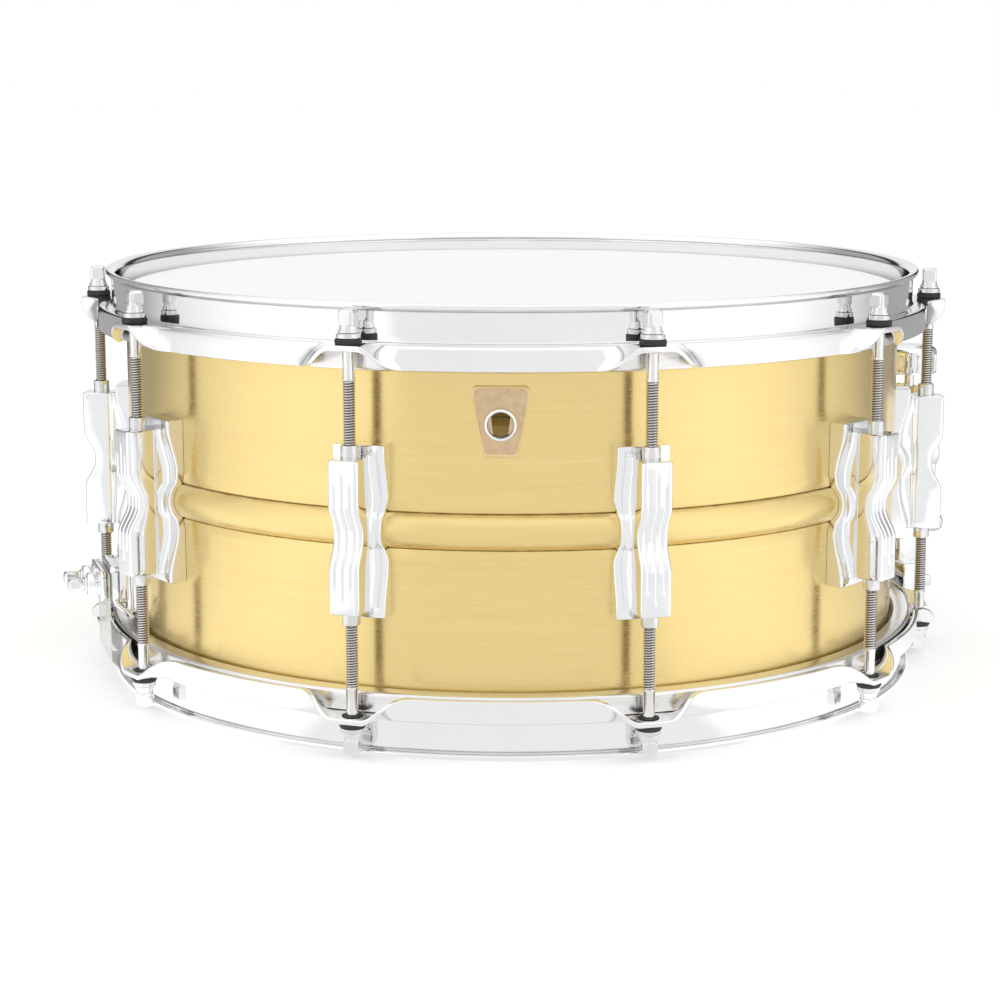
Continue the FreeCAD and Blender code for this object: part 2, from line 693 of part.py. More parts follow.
def make_butt_base():
    foot = box((SHELL_R - 4, BUTT_PLATE_R), (-BUTT_PLATE_HALF, BUTT_PLATE_HALF), BUTT_PLATE_UP)
    foot = rounded_edges(foot, 5.0, lambda edge: along(edge, X_AXIS))
    block = box((SHELL_R + 2, BUTT_BLOCK_R), (-BUTT_BLOCK_HALF, BUTT_BLOCK_HALF), BUTT_BLOCK_UP)
    block = rounded_edges(block, 2.5, lambda edge: along(edge, X_AXIS))
    base = foot.fuse(block).cut(shell_outline(LUG_GAP))
    for up in BUTT_SCREWS_UP:
        base = base.cut(radial_rod(SCREW_R + 0.1, (170, 182.6), 0, up))
    for y in (-BUTT_SCREW_Y, BUTT_SCREW_Y):
        base = base.cut(radial_rod(SCREW_R + 0.1, (183.7, 195), y, BUTT_SCREW_UP))
    return turned(base.removeSplitter(), 180)


def make_butt_clamp():
    bar = box(BUTT_CLAMP_R, (-BUTT_CLAMP_HALF, BUTT_CLAMP_HALF), BUTT_CLAMP_UP)
    bar = rounded_edges(bar, 3.0, lambda edge: along(edge, X_AXIS))
    for y in (-BUTT_SCREW_Y, BUTT_SCREW_Y):
        bar = bar.fuse(radial_rod(BUTT_BOSS_R, (BUTT_CLAMP_R[0], BUTT_BOSS_OUT_R), y, BUTT_SCREW_UP))
        bar = bar.cut(radial_rod(SCREW_R + 0.1, (190, 205), y, BUTT_SCREW_UP))
    return turned(bar.removeSplitter(), 180)


def make_butt_screws():
    shapes = [
        clamp_screw(184.2, BUTT_BOSS_OUT_R + 0.05, BUTT_SCREW_TIP_R, y, BUTT_SCREW_UP)
        for y in (-BUTT_SCREW_Y, BUTT_SCREW_Y)
    ]
    return turned(Part.makeCompound(shapes), 180)


def make_snare_wires():
    strands = []
    for index in range(STRANDS):
        y = (index - (STRANDS - 1) / 2) * STRAND_PITCH
        start = V(-STRAND_END_X, y, z_of(STRAND_UP))
        strands.append(Part.makeCylinder(STRAND_R, 2 * STRAND_END_X, start, X_AXIS))
    return Part.makeCompound(strands)


def make_end_plates():
    one = box(END_PLATE_X, (-END_PLATE_HALF, END_PLATE_HALF), END_PLATE_UP)
    one = rounded_edges(one, 3.0, lambda edge: along(edge, Z_AXIS))
    return Part.makeCompound([one, turned(one, 180)])


def strap(points):
    # A tape of constant thickness that follows straight runs joined by bends of one radius.
    edges = []
    here = V(points[0][0], 0, z_of(points[0][1]))
    for before, corner, after in zip(points, points[1:], points[2:]):
        b = V(before[0], 0, z_of(before[1]))
        c = V(corner[0], 0, z_of(corner[1]))
        a = V(after[0], 0, z_of(after[1]))
        u = (b - c).normalize()
        w = (a - c).normalize()
        half_turn = (math.pi - u.getAngle(w)) / 2
        cut = STRAP_BEND_R * math.tan(half_turn)
        bisector = (u + w).normalize()
        apex = c + bisector * (STRAP_BEND_R / math.cos(half_turn) - STRAP_BEND_R)
        edges.append(Part.makeLine(here, c + u * cut))
        edges.append(Part.Arc(c + u * cut, apex, c + w * cut).toShape())
        here = c + w * cut
    edges.append(Part.makeLine(here, V(points[-1][0], 0, z_of(points[-1][1]))))
    band = Part.Wire(edges).makeOffset2D(STRAP / 2, 0, True)
    band.translate(V(0, -STRAP_HALF, 0))
    return band.extrude(V(0, 2 * STRAP_HALF, 0))


def make_straps():
    middle = (JAW_R[1] + CLAMP_R[0]) / 2
    corners = [(STRAP_START_X, STRAP_UP), (190.0, STRAP_UP), (middle, -79.0)]
    right = strap(corners + [(middle, CLAMP_UP[1] - 1.6)])
    for y in (-CLAMP_SCREW_Y, CLAMP_SCREW_Y):
        hole = box((190, 210), (y - 2.7, y + 2.7), (CLAMP_SCREW_UP - 4.4, CLAMP_SCREW_UP + 4.4))
        right = right.cut(hole)
    outside = (BUTT_BLOCK_R + BUTT_CLAMP_R[0]) / 2
    corners = [(STRAP_START_X, STRAP_UP), (185.8, STRAP_UP), (outside, -79.0)]
    left = strap(corners + [(outside, BUTT_CLAMP_UP[1] - 1)])
    for y in (-BUTT_SCREW_Y, BUTT_SCREW_Y):
        left = left.cut(radial_rod(3.0, (186, 200), y, BUTT_SCREW_UP))
    return Part.makeCompound([right, turned(left, 180)])


def save(name, shape):
    shape.exportStep("parts/" + name + ".step")


def main():
    os.makedirs("parts", exist_ok=True)
    save("shell", make_shell())
    save("badge", make_badge())
    save("vent_grommet", make_vent_grommet())

    lug = make_lug()
    one_rod = make_rod()
    for index in range(LUG_COUNT):
        angle = index * LUG_STEP
        number = "%02d" % (index + 1)
        save("lug_" + number, placed(lug, angle))
        save("rod_batter_" + number, placed(one_rod, angle))
        save("rod_snare_" + number, flipped(placed(one_rod, angle)))
    save("lug_inserts", on_every_rod(make_lug_insert()))
    save("shell_screws", make_shell_screws())
    save("shell_screw_washers", make_shell_screw_washers())
    save("rod_washers", on_every_rod(ring(ROD_SHANK_R + RUNNING, METAL_WASHER_R, METAL_WASHER_UP, ROD_R)))
    save("rod_rubber_washers", on_every_rod(make_rubber_washer()))

    hoop = make_hoop()
    head = make_head()
    collar = make_head_collar()
    flesh_hoop = make_flesh_hoop()
    save("batter_hoop", hoop)
    save("batter_head", head)
    save("batter_flesh_hoop", flesh_hoop)
    save("snare_hoop", make_snare_hoop(hoop))
    save("snare_head", flipped(head))
    save("head_collars", Part.makeCompound([collar, flipped(collar)]))
    save("snare_flesh_hoop", flipped(flesh_hoop))

    save("strainer_base", make_strainer_base())
    save("strainer_lever", make_strainer_lever())
    save("strainer_slide", make_strainer_slide())
    save("strainer_nut", make_strainer_nut())
    save("strainer_adjust_screw", make_adjust_screw())
    save("strainer_knob", make_knob())
    save("strainer_carriage", make_carriage())
    save("strainer_clamp_plate", make_clamp_plate())
    save("strainer_clamp_screws", make_clamp_screws())
    save("butt_base", make_butt_base())
    save("butt_clamp_plate", make_butt_clamp())
    save("butt_clamp_screws", make_butt_screws())
    save("snare_wires", make_snare_wires())
    save("snare_end_plates", make_end_plates())
    save("snare_straps", make_straps())


main()
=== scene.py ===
import math

import bmesh
import bpy
import numpy as np
from mathutils import Matrix, Vector


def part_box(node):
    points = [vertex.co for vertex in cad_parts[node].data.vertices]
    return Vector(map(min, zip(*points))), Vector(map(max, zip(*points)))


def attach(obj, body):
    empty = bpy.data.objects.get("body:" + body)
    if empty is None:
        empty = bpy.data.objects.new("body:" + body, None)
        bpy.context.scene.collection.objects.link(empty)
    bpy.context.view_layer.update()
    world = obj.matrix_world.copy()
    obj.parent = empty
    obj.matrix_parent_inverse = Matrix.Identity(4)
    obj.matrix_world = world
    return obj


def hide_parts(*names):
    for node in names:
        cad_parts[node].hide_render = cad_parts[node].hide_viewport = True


# A 14 by 6.5 inch brass snare drum. Lengths in this script are millimetres, and become metres in to_mesh().
# "Up" is a height from the shell's mid-plane. Angles round the drum run from -Y towards +X.

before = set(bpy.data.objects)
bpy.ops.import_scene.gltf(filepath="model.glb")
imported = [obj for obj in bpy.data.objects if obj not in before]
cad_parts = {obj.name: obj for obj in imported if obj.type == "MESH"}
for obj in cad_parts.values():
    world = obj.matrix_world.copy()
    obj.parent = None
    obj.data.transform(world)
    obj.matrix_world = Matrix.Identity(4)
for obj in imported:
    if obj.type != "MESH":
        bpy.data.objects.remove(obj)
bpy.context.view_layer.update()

MM = 0.001
TAU = 2 * math.pi


def node_box(node):
    low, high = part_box(node)
    return np.array(low) / MM, np.array(high) / MM


# Sizes read from the frame
SHELL_LOW, SHELL_HIGH = node_box("shell")
MID = (SHELL_LOW[2] + SHELL_HIGH[2]) / 2
EDGE_UP = (SHELL_HIGH[2] - SHELL_LOW[2]) / 2
BEAD_R = SHELL_HIGH[0]
BEAD_PROUD = 3.8
BEAD_HALF = 7.2
SHELL_R = BEAD_R - BEAD_PROUD
SHELL_WALL = 1.2
HOOP_LOW, HOOP_HIGH = node_box("batter_hoop")
LIP_UP = HOOP_HIGH[2] - MID
SKIRT_UP = HOOP_LOW[2] - MID
EAR_TIP_R = -HOOP_LOW[1]
ROD_LOW, ROD_HIGH = node_box("rod_batter_01")
ROD_R = -(ROD_LOW[1] + ROD_HIGH[1]) / 2
ROD_TIP_UP = ROD_HIGH[2] - MID
THREAD_END_UP = ROD_LOW[2] - MID
LUG_LOW, LUG_HIGH = node_box("lug_01")
LUG_FACE_R = -LUG_LOW[1]
LUG_FLANGE_UP = LUG_HIGH[2] - MID
LUG_FLANGE_HALF = LUG_HIGH[0]
LUGS = 10
STEP = 360.0 / LUGS
SCREW_R = 202.3

# The hoops
HOOP_SHARP = 42.0
SHEET = 2.3
COLLAR_R = 181.15
SHELF_UP = 75.9
LIP_ROLL = 2.45
BEND = 1.45
BEND_R = 186.6
FOOT_BEND = 1.9
GATE_HALF = 24.0
GATE_UP = (77.5, 88.8)
EAR_HOLE_R = 4.4
EAR_FLAT = 5.5
EAR_SWEEP = 26.0


# ---------------------------------------------------------------- mesh helpers

SHARP = 38.0
SHARP_RIM = 0.01


def shade(mesh, angle):
    """Smooth shading, with a crease where two faces meet at more than the angle."""
    mesh.shade_smooth()
    mesh.set_sharp_from_angle(angle=math.radians(angle))


def to_mesh(name, points, faces, angle=SHARP):
    mesh = bpy.data.meshes.new(name)
    scaled = (np.asarray(points, float) * MM).tolist()
    mesh.from_pydata(scaled, [], faces)
    mesh.validate()
    outward = bmesh.new()
    outward.from_mesh(mesh)
    bmesh.ops.recalc_face_normals(outward, faces=outward.faces)
    outward.to_mesh(mesh)
    outward.free()
    mesh.update()
    shade(mesh, angle)
    return mesh


def grid_faces(rows, columns, wrap_columns=True, wrap_rows=False, start=0):
    faces = []
    last_row = rows if wrap_rows else rows - 1
    last_column = columns if wrap_columns else columns - 1
    for i in range(last_row):
        a = start + i * columns
        b = start + ((i + 1) % rows) * columns
        for j in range(last_column):
            k = (j + 1) % columns
            faces.append((a + j, a + k, b + k, b + j))
    return faces


class Parts:
    """Points and faces of one piece, gathered from several closed forms."""

    def __init__(self):
        self.points = []
        self.faces = []

    def add(self, points, faces):
        base = len(self.points)
        self.points.extend(np.asarray(points, float).reshape(-1, 3).tolist())
        self.faces.extend([tuple(base + i for i in face) for face in faces])
        return self

    def loft(self, rows, caps=True, wrap_rows=False):
        rows = np.asarray(rows, float)
        count, width = rows.shape[:2]
        faces = grid_faces(count, width, True, wrap_rows)
        if caps and not wrap_rows:
            faces.append(tuple(reversed(range(width))))
            faces.append(tuple((count - 1) * width + i for i in range(width)))
        return self.add(rows, faces)

    def turned_by(self, degrees):
        a = math.radians(degrees)
        spin = np.array([[math.cos(a), -math.sin(a), 0], [math.sin(a), math.cos(a), 0], [0, 0, 1]])
        self.points = (np.asarray(self.points) @ spin.T).tolist()
        return self

    def join(self, other):
        return self.add(other.points, other.faces)

    def take(self, mesh):
        """Takes in a mesh's points and faces, and removes the mesh."""
        self.add([v.co / MM for v in mesh.vertices], [tuple(p.vertices) for p in mesh.polygons])
        bpy.data.meshes.remove(mesh)
        return self

    def mesh(self, name, angle=SHARP):
        return to_mesh(name, self.points, self.faces, angle)


def piece(name, mesh, material, body, replaces=(), matrix=None):
    obj = bpy.data.objects.new(name, mesh)
    bpy.context.scene.collection.objects.link(obj)
    if not mesh.materials:
        mesh.materials.append(material)
    if matrix is not None:
        obj.matrix_world = matrix
    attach(obj, body)
    if replaces:
        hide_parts(*replaces)


def cut(mesh, cutters):
    """The mesh with the cutters' volume taken out of it."""
    cutter_mesh = cutters.mesh("cutter")
    obj = bpy.data.objects.new("being_cut", mesh)
    cutter = bpy.data.objects.new("cutter", cutter_mesh)
    for one in (obj, cutter):
        bpy.context.scene.collection.objects.link(one)
    modifier = obj.modifiers.new("cut", "BOOLEAN")
    modifier.object = cutter
    modifier.operation = "DIFFERENCE"
    modifier.solver = "MANIFOLD"
    bpy.context.view_layer.update()
    graph = bpy.context.evaluated_depsgraph_get()
    result = bpy.data.meshes.new_from_object(obj.evaluated_get(graph))
    for one in (obj, cutter):
        bpy.data.objects.remove(one)
    result.name = mesh.name
    result.materials.clear()
    bpy.data.meshes.remove(mesh)
    bpy.data.meshes.remove(cutter_mesh)
    return result


def cos_sin(degrees):
    a = math.radians(degrees)
    return math.cos(a), math.sin(a)


def smooth(t):
    t = np.clip(t, 0.0, 1.0)
    return t * t * (3 - 2 * t)


def circle(radius, count):
    a = np.arange(count) * TAU / count
    return np.stack([radius * np.cos(a), radius * np.sin(a)], 1)


def at_height(flat, up):
    return np.column_stack([flat, np.full(len(flat), up)])


def revolve(profile, count=64):
    """Rows of a turned form about Z from (r, z) pairs."""
    a = np.arange(count) * TAU / count
    return np.array([np.stack([r * np.cos(a), r * np.sin(a), np.full(count, z)], 1) for r, z in profile])


def arc(cx, cy, radius, start, end, count):
    a = np.radians(np.linspace(start, end, count))
    return [(cx + radius * math.cos(t), cy + radius * math.sin(t)) for t in a]


def soft_prism(outline, low, high, edge=0.5, steps=3):
    """Rows of a prism along Z, with an anticlockwise outline and rounded rims."""
    outline = np.asarray(outline, float)
    before = np.roll(outline, 1, 0)
    after = np.roll(outline, -1, 0)
    tangent = after - before
    normal = np.stack([tangent[:, 1], -tangent[:, 0]], 1)
    normal /= np.linalg.norm(normal, axis=1)[:, None] + 1e-12
    a = np.linspace(0, math.pi / 2, steps + 1)
    bottom = [(low + edge * (1 - math.cos(t)), edge * (1 - math.sin(t))) for t in a]
    top = [(high - z + low, inset) for z, inset in bottom[::-1]]
    rows = []
    for z, inset in bottom + top:
        flat = outline - normal * inset
        rows.append(at_height(flat, z))
    return np.array(rows)


def rounded_rectangle(half_x, half_y, radius, steps=5, centre=(0.0, 0.0)):
    points = []
    for sx, sy, start in ((1, 1, 0), (-1, 1, 90), (-1, -1, 180), (1, -1, 270)):
        cx = centre[0] + sx * (half_x - radius)
        cy = centre[1] + sy * (half_y - radius)
        points += arc(cx, cy, radius, start, start + 90, steps)
    return points


def along_x(rows):
    """Turns rows made along Z so that their Z runs along X, with local (x, y) becoming (y, z)."""
    rows = np.asarray(rows)
    return np.stack([rows[..., 2], rows[..., 0], rows[..., 1]], -1)


def about(angle):
    """Turns a piece made on the +X side to an angle from -Y towards +X."""
    return Matrix.Rotation(math.radians(angle - 90.0), 4, "Z")


AT_MID = Matrix.Translation((0, 0, MID * MM))
UPSIDE = Matrix.Rotation(math.pi, 4, "X")


# ---------------------------------------------------------------- materials

class Nodes:
    """A short way to write a material's node tree."""

    def __init__(self, name):
        self.material = bpy.data.materials.new(name)
        self.material.use_nodes = True
        self.tree = self.material.node_tree
        self.shader = next(n for n in self.tree.nodes if n.type == "BSDF_PRINCIPLED")
        self.coords = self.tree.nodes.new("ShaderNodeTexCoord").outputs["Object"]

    def node(self, kind, sockets=None, **settings):
        made = self.tree.nodes.new(kind)
        for key, value in settings.items():
            setattr(made, key, value)
        for key, value in (sockets or {}).items():
            self.plug(value, made.inputs[key])
        return made

    def plug(self, value, socket):
        if isinstance(value, bpy.types.NodeSocket):
            self.tree.links.new(value, socket)
        else:
            socket.default_value = value

    def math(self, operation, a, b=None, c=None, clamp=False):
        sockets = {index: value for index, value in enumerate((a, b, c)) if value is not None}
        return self.node("ShaderNodeMath", sockets, operation=operation, use_clamp=clamp).outputs[0]

    def scaled(self, vector, factors):
        return self.node("ShaderNodeMapping", {"Vector": vector, "Scale": factors}).outputs[0]

    def noise(self, vector, scale, detail=4.0, rough=0.55):
        sockets = {"Vector": vector, "Scale": scale, "Detail": detail, "Roughness": rough}
        return self.node("ShaderNodeTexNoise", sockets).outputs[0]

    def spread(self, value, low, high, start=0.3, end=0.7):
        sockets = {"Value": value, "From Min": start, "From Max": end, "To Min": low, "To Max": high}
        return self.node("ShaderNodeMapRange", sockets).outputs[0]

    def blend(self, amount, a, b):
        node = self.node("ShaderNodeMix", data_type="RGBA")
        self.plug(amount, node.inputs[0])
        for colour, socket in ((a, node.inputs[6]), (b, node.inputs[7])):
            self.plug(colour if isinstance(colour, bpy.types.NodeSocket) else (*colour, 1.0), socket)
        return node.outputs[2]

    def bump(self, height, strength, distance, before=None):
        sockets = {"Strength": strength, "Distance": distance * MM, "Height": height}
        if before is not None:
            sockets["Normal"] = before
        return self.node("ShaderNodeBump", sockets).outputs[0]

    def axes(self, vector):
        return self.node("ShaderNodeSeparateXYZ", {0: vector}).outputs

    def around(self):
        """Arc length round the drum's axis and the height, as sockets, in metres."""
        x, y, z = self.axes(self.coords)
        turned = self.math("ARCTAN2", x, self.math("MULTIPLY", y, -1.0))
        return self.math("MULTIPLY", turned, SHELL_R * MM), z

    def around_vector(self, along, across):
        arc_length, z = self.around()
        sockets = {0: self.math("MULTIPLY", arc_length, along), 2: self.math("MULTIPLY", z, across)}
        return self.node("ShaderNodeCombineXYZ", sockets).outputs[0]

    def set(self, **values):
        for key, value in values.items():
            self.plug(value, self.shader.inputs[key.replace("_", " ")])


def metal(name, base, second, rough, spread, scale=60.0, grain=900.0, bump=0.03, soft_edges=0.0):
    """A plated or bare metal: cloudy tone, fine wipe marks in the roughness, and a slight ripple."""
    m = Nodes(name)
    cloud = m.noise(m.coords, scale, 5.0, 0.6)
    wipe = m.noise(m.scaled(m.coords, (1.0, 1.0, 0.25)), grain, 3.0, 0.7)
    m.set(Base_Color=m.blend(m.spread(cloud, 0.0, 1.0), base, second))
    wiped = m.spread(wipe, rough - spread, rough + spread)
    m.set(Roughness=m.math("ADD", wiped, m.spread(cloud, -spread, spread)))
    m.set(Metallic=1.0)
    before = None
    if soft_edges:
        before = m.node("ShaderNodeBevel", {"Radius": soft_edges * MM}, samples=4).outputs[0]
    m.set(Normal=m.bump(cloud, bump, 0.4, before))
    return m.material


def brushed_brass():
    m = Nodes("brushed_brass")
    z = m.axes(m.coords)[2]
    fine = m.noise(m.around_vector(26.0, 2600.0), 1.0, 3.0, 0.6)
    wide = m.noise(m.around_vector(9.0, 420.0), 1.0, 3.0, 0.6)
    cloud = m.noise(m.coords, 14.0, 4.0, 0.5)
    tone = m.math("ADD", m.math("MULTIPLY", fine, 0.55), m.math("MULTIPLY", wide, 0.45))
    brass = m.blend(m.spread(tone, 0.0, 1.0, 0.34, 0.66), (0.80, 0.615, 0.262), (0.895, 0.705, 0.318))
    brass = m.blend(m.spread(cloud, 0.0, 0.35), brass, (0.84, 0.65, 0.28))
    # Painted shade: a thin dark brown line painted along both edges of the bead, where the groove meets the
    # shell, its width wandering round the drum.
    up = m.math("ABSOLUTE", m.math("SUBTRACT", z, MID * MM))
    off_shade_line = m.math("ABSOLUTE", m.math("SUBTRACT", up, (BEAD_HALF + 0.15) * MM))
    wander = m.noise(m.around_vector(120.0, 60.0), 1.0, 5.0, 0.65)
    reach = m.spread(wander, 0.0002, 0.0008, 0.25, 0.75)
    painted_crease_shade = m.math("SUBTRACT", 1.0, m.math("DIVIDE", off_shade_line, reach), clamp=True)
    m.set(Base_Color=m.blend(m.math("MULTIPLY", painted_crease_shade, 0.85), brass, (0.16, 0.095, 0.04)))
    m.set(Roughness=m.spread(tone, 0.21, 0.31, 0.3, 0.7))
    m.set(Metallic=1.0, Anisotropic=0.8, Anisotropic_Rotation=0.25)
    m.set(Tangent=m.node("ShaderNodeTangent", direction_type="RADIAL", axis="Z").outputs[0])
    m.set(Normal=m.bump(tone, 0.12, 0.05))
    return m.material


def brushed_ring(name, base, second, rough):
    """Metal brushed along the ring, with long pale and dark streaks."""
    m = Nodes(name)
    fine = m.noise(m.around_vector(30.0, 1500.0), 1.0, 3.0, 0.6)
    streak = m.noise(m.around_vector(22.0, 260.0), 1.0, 4.0, 0.62)
    tone = m.math("ADD", m.math("MULTIPLY", fine, 0.45), m.math("MULTIPLY", streak, 0.55))
    m.set(Base_Color=m.blend(m.spread(tone, 0.0, 1.0, 0.36, 0.64), base, second))
    m.set(Roughness=m.spread(tone, rough - 0.07, rough + 0.09))
    m.set(Metallic=1.0, Anisotropic=0.6, Anisotropic_Rotation=0.25)
    m.set(Tangent=m.node("ShaderNodeTangent", direction_type="RADIAL", axis="Z").outputs[0])
    m.set(Normal=m.bump(tone, 0.2, 0.05))
    return m.material


def coated_film():
    """White sprayed coating: fine dry grain with slightly thinner patches."""
    m = Nodes("coated_film")
    grain = m.noise(m.coords, 1500.0, 4.0, 0.75)
    speck = m.noise(m.coords, 520.0, 3.0, 0.6)
    patch = m.noise(m.coords, 16.0, 4.0, 0.5)
    white = m.blend(m.spread(grain, 0.0, 1.0, 0.35, 0.65), (0.90, 0.898, 0.885), (0.955, 0.953, 0.945))
    m.set(Base_Color=m.blend(m.spread(patch, 0.0, 0.3), white, (0.915, 0.912, 0.90)))
    m.set(Roughness=m.spread(speck, 0.55, 0.8))
    m.set(Normal=m.bump(grain, 0.35, 0.06, m.bump(speck, 0.2, 0.1)))
    return m.material


def clear_film():
    """Thin hazy polyester."""
    m = Nodes("clear_film")
    haze = m.noise(m.coords, 30.0, 5.0, 0.6)
    scuff = m.noise(m.scaled(m.coords, (1.0, 7.0, 1.0)), 240.0, 4.0, 0.7)
    m.set(Base_Color=m.blend(m.spread(haze, 0.0, 1.0), (0.80, 0.82, 0.83), (0.90, 0.91, 0.92)))
    m.set(Roughness=m.spread(scuff, 0.12, 0.3))
    m.set(Alpha=m.spread(haze, 0.34, 0.42))
    m.set(Normal=m.bump(scuff, 0.06, 0.05))
    return m.material


def rubber(name, base, second):
    m = Nodes(name)
    mottle = m.noise(m.coords, 700.0, 5.0, 0.6)
    dust = m.noise(m.coords, 110.0, 4.0, 0.6)
    m.set(Base_Color=m.blend(m.spread(dust, 0.0, 1.0), base, second))
    m.set(Roughness=m.spread(mottle, 0.45, 0.72), Normal=m.bump(mottle, 0.3, 0.08))
    return m.material


def threaded_chrome(name, axis_r, low, high):
    """Plated steel whose thread roots hold a dark brown film, between two heights."""
    m = Nodes(name)
    x, y, z = m.axes(m.coords)
    across = m.math("SUBTRACT", x, axis_r * MM)
    span = m.math("SQRT", m.math("ADD", m.math("MULTIPLY", across, across), m.math("MULTIPLY", y, y)))
    cloud = m.noise(m.coords, 120.0, 3.0, 0.5)
    wipe = m.noise(m.coords, 900.0, 3.0, 0.7)
    root = m.spread(span, 1.0, 0.0, 0.00206, 0.00250)
    inside = m.math("MULTIPLY", m.math("GREATER_THAN", z, low * MM), m.math("LESS_THAN", z, high * MM))
    stain = m.math("MULTIPLY", root, inside)
    tone = m.blend(m.spread(cloud, 0.0, 1.0), (0.76, 0.755, 0.75), (0.82, 0.82, 0.82))
    m.set(Base_Color=m.blend(m.math("MULTIPLY", stain, 0.85), tone, (0.21, 0.17, 0.14)))
    m.set(Roughness=m.math("ADD", m.spread(wipe, 0.05, 0.08), m.math("MULTIPLY", stain, 0.2)))
    m.set(Metallic=1.0, Normal=m.bump(cloud, 0.015, 0.2))
    return m.material


def hoop_metal():
    """Chrome over pressed steel, with painted shade: a dark blue-grey line painted where the collar curls
    into the lip.
    """
    m = Nodes("hoop_chrome")
    cloud = m.noise(m.coords, 22.0, 5.0, 0.6)
    wipe = m.noise(m.around_vector(60.0, 900.0), 1.0, 3.0, 0.7)
    up = m.math("ABSOLUTE", m.math("SUBTRACT", m.axes(m.coords)[2], MID * MM))
    off = m.math("ABSOLUTE", m.math("SUBTRACT", up, SHADE_LINE_UP * MM))
    wander = m.noise(m.around_vector(14.0, 0.0), 1.0, 3.0, 0.6)
    reach = m.spread(wander, 0.0003, 0.0009)
    # Painted shade: the dark line at the top of the collar, where it curls into the lip.
    painted_crease_shade = m.math("SUBTRACT", 1.0, m.math("DIVIDE", off, reach), clamp=True)
    tone = m.blend(m.spread(cloud, 0.0, 1.0), (0.835, 0.84, 0.845), (0.875, 0.875, 0.875))
    m.set(Base_Color=m.blend(m.math("MULTIPLY", painted_crease_shade, 0.75), tone, (0.16, 0.19, 0.22)))
    m.set(Roughness=m.spread(wipe, 0.045, 0.075), Metallic=1.0, Normal=m.bump(cloud, 0.04, 0.4))
    return m.material


def milky_strip():
    """Thin milky plastic strip, scuffed along its length."""
    m = Nodes("strap_strip")
    haze = m.noise(m.coords, 60.0, 4.0, 0.6)
    scuff = m.noise(m.scaled(m.coords, (0.2, 1.0, 0.2)), 900.0, 4.0, 0.7)
    m.set(Base_Color=m.blend(m.spread(haze, 0.0, 1.0), (0.80, 0.79, 0.76), (0.90, 0.89, 0.86)))
    m.set(Roughness=m.spread(scuff, 0.22, 0.42), Alpha=m.spread(haze, 0.52, 0.62))
    m.set(Normal=m.bump(scuff, 0.15, 0.05))
    return m.material


BRASS = brushed_brass()
CHROME = metal("chrome", (0.83, 0.84, 0.85), (0.89, 0.89, 0.90), 0.05, 0.02)
# Height of the painted shade line on the hoops.
SHADE_LINE_UP = LIP_UP - 3.1
HOOP_CHROME = hoop_metal()
TENSION_ROD = threaded_chrome("tension_rod_chrome", ROD_R, THREAD_END_UP, 62.6)
ADJUST_ROD = threaded_chrome("adjust_rod_chrome", SCREW_R, MID - 59.0, MID + 22.3)
ROD_CHROME = metal("rod_chrome", (0.74, 0.74, 0.75), (0.84, 0.84, 0.84), 0.10, 0.03)
STEEL = metal("washer_steel", (0.66, 0.66, 0.66), (0.78, 0.78, 0.77), 0.18, 0.05, 140.0)
ZINC = metal("zinc_screws", (0.60, 0.61, 0.62), (0.74, 0.73, 0.70), 0.28, 0.07, 160.0, 1200.0, 0.08, 0.25)
NUT_BRASS = metal("nut_brass", (0.70, 0.47, 0.16), (0.82, 0.60, 0.26), 0.2, 0.05, 200.0, 1200.0, 0.05, 0.2)
PLATE_BRASS = metal("plate_brass", (0.72, 0.52, 0.24), (0.84, 0.66, 0.36), 0.24, 0.06, 90.0, 900.0, 0.06)
WIRE = metal("wire_steel", (0.62, 0.62, 0.63), (0.80, 0.80, 0.80), 0.16, 0.05, 300.0)
FLESH = brushed_ring("flesh_aluminium", (0.74, 0.73, 0.71), (0.88, 0.875, 0.865), 0.22)
BADGE_FACE = metal("badge_brass", (0.60, 0.43, 0.255), (0.74, 0.56, 0.36), 0.34, 0.08, 300.0, 2200.0, 0.12)
COATED = coated_film()
CLEAR = clear_film()
RUBBER = rubber("washer_rubber", (0.012, 0.012, 0.013), (0.03, 0.03, 0.03))
STRAP = milky_strip()


# ---------------------------------------------------------------- shell and heads

def bead_out(up):
    """How far the shell's outer surface stands out at a height."""
    radius = (BEAD_HALF ** 2 + BEAD_PROUD ** 2) / (2 * BEAD_PROUD)
    up = np.abs(np.asarray(up, float))
    inside = np.sqrt(np.clip(radius ** 2 - up ** 2, 0, None)) - (radius - BEAD_PROUD)
    return np.where(up < BEAD_HALF, np.clip(inside, 0, None), 0.0)


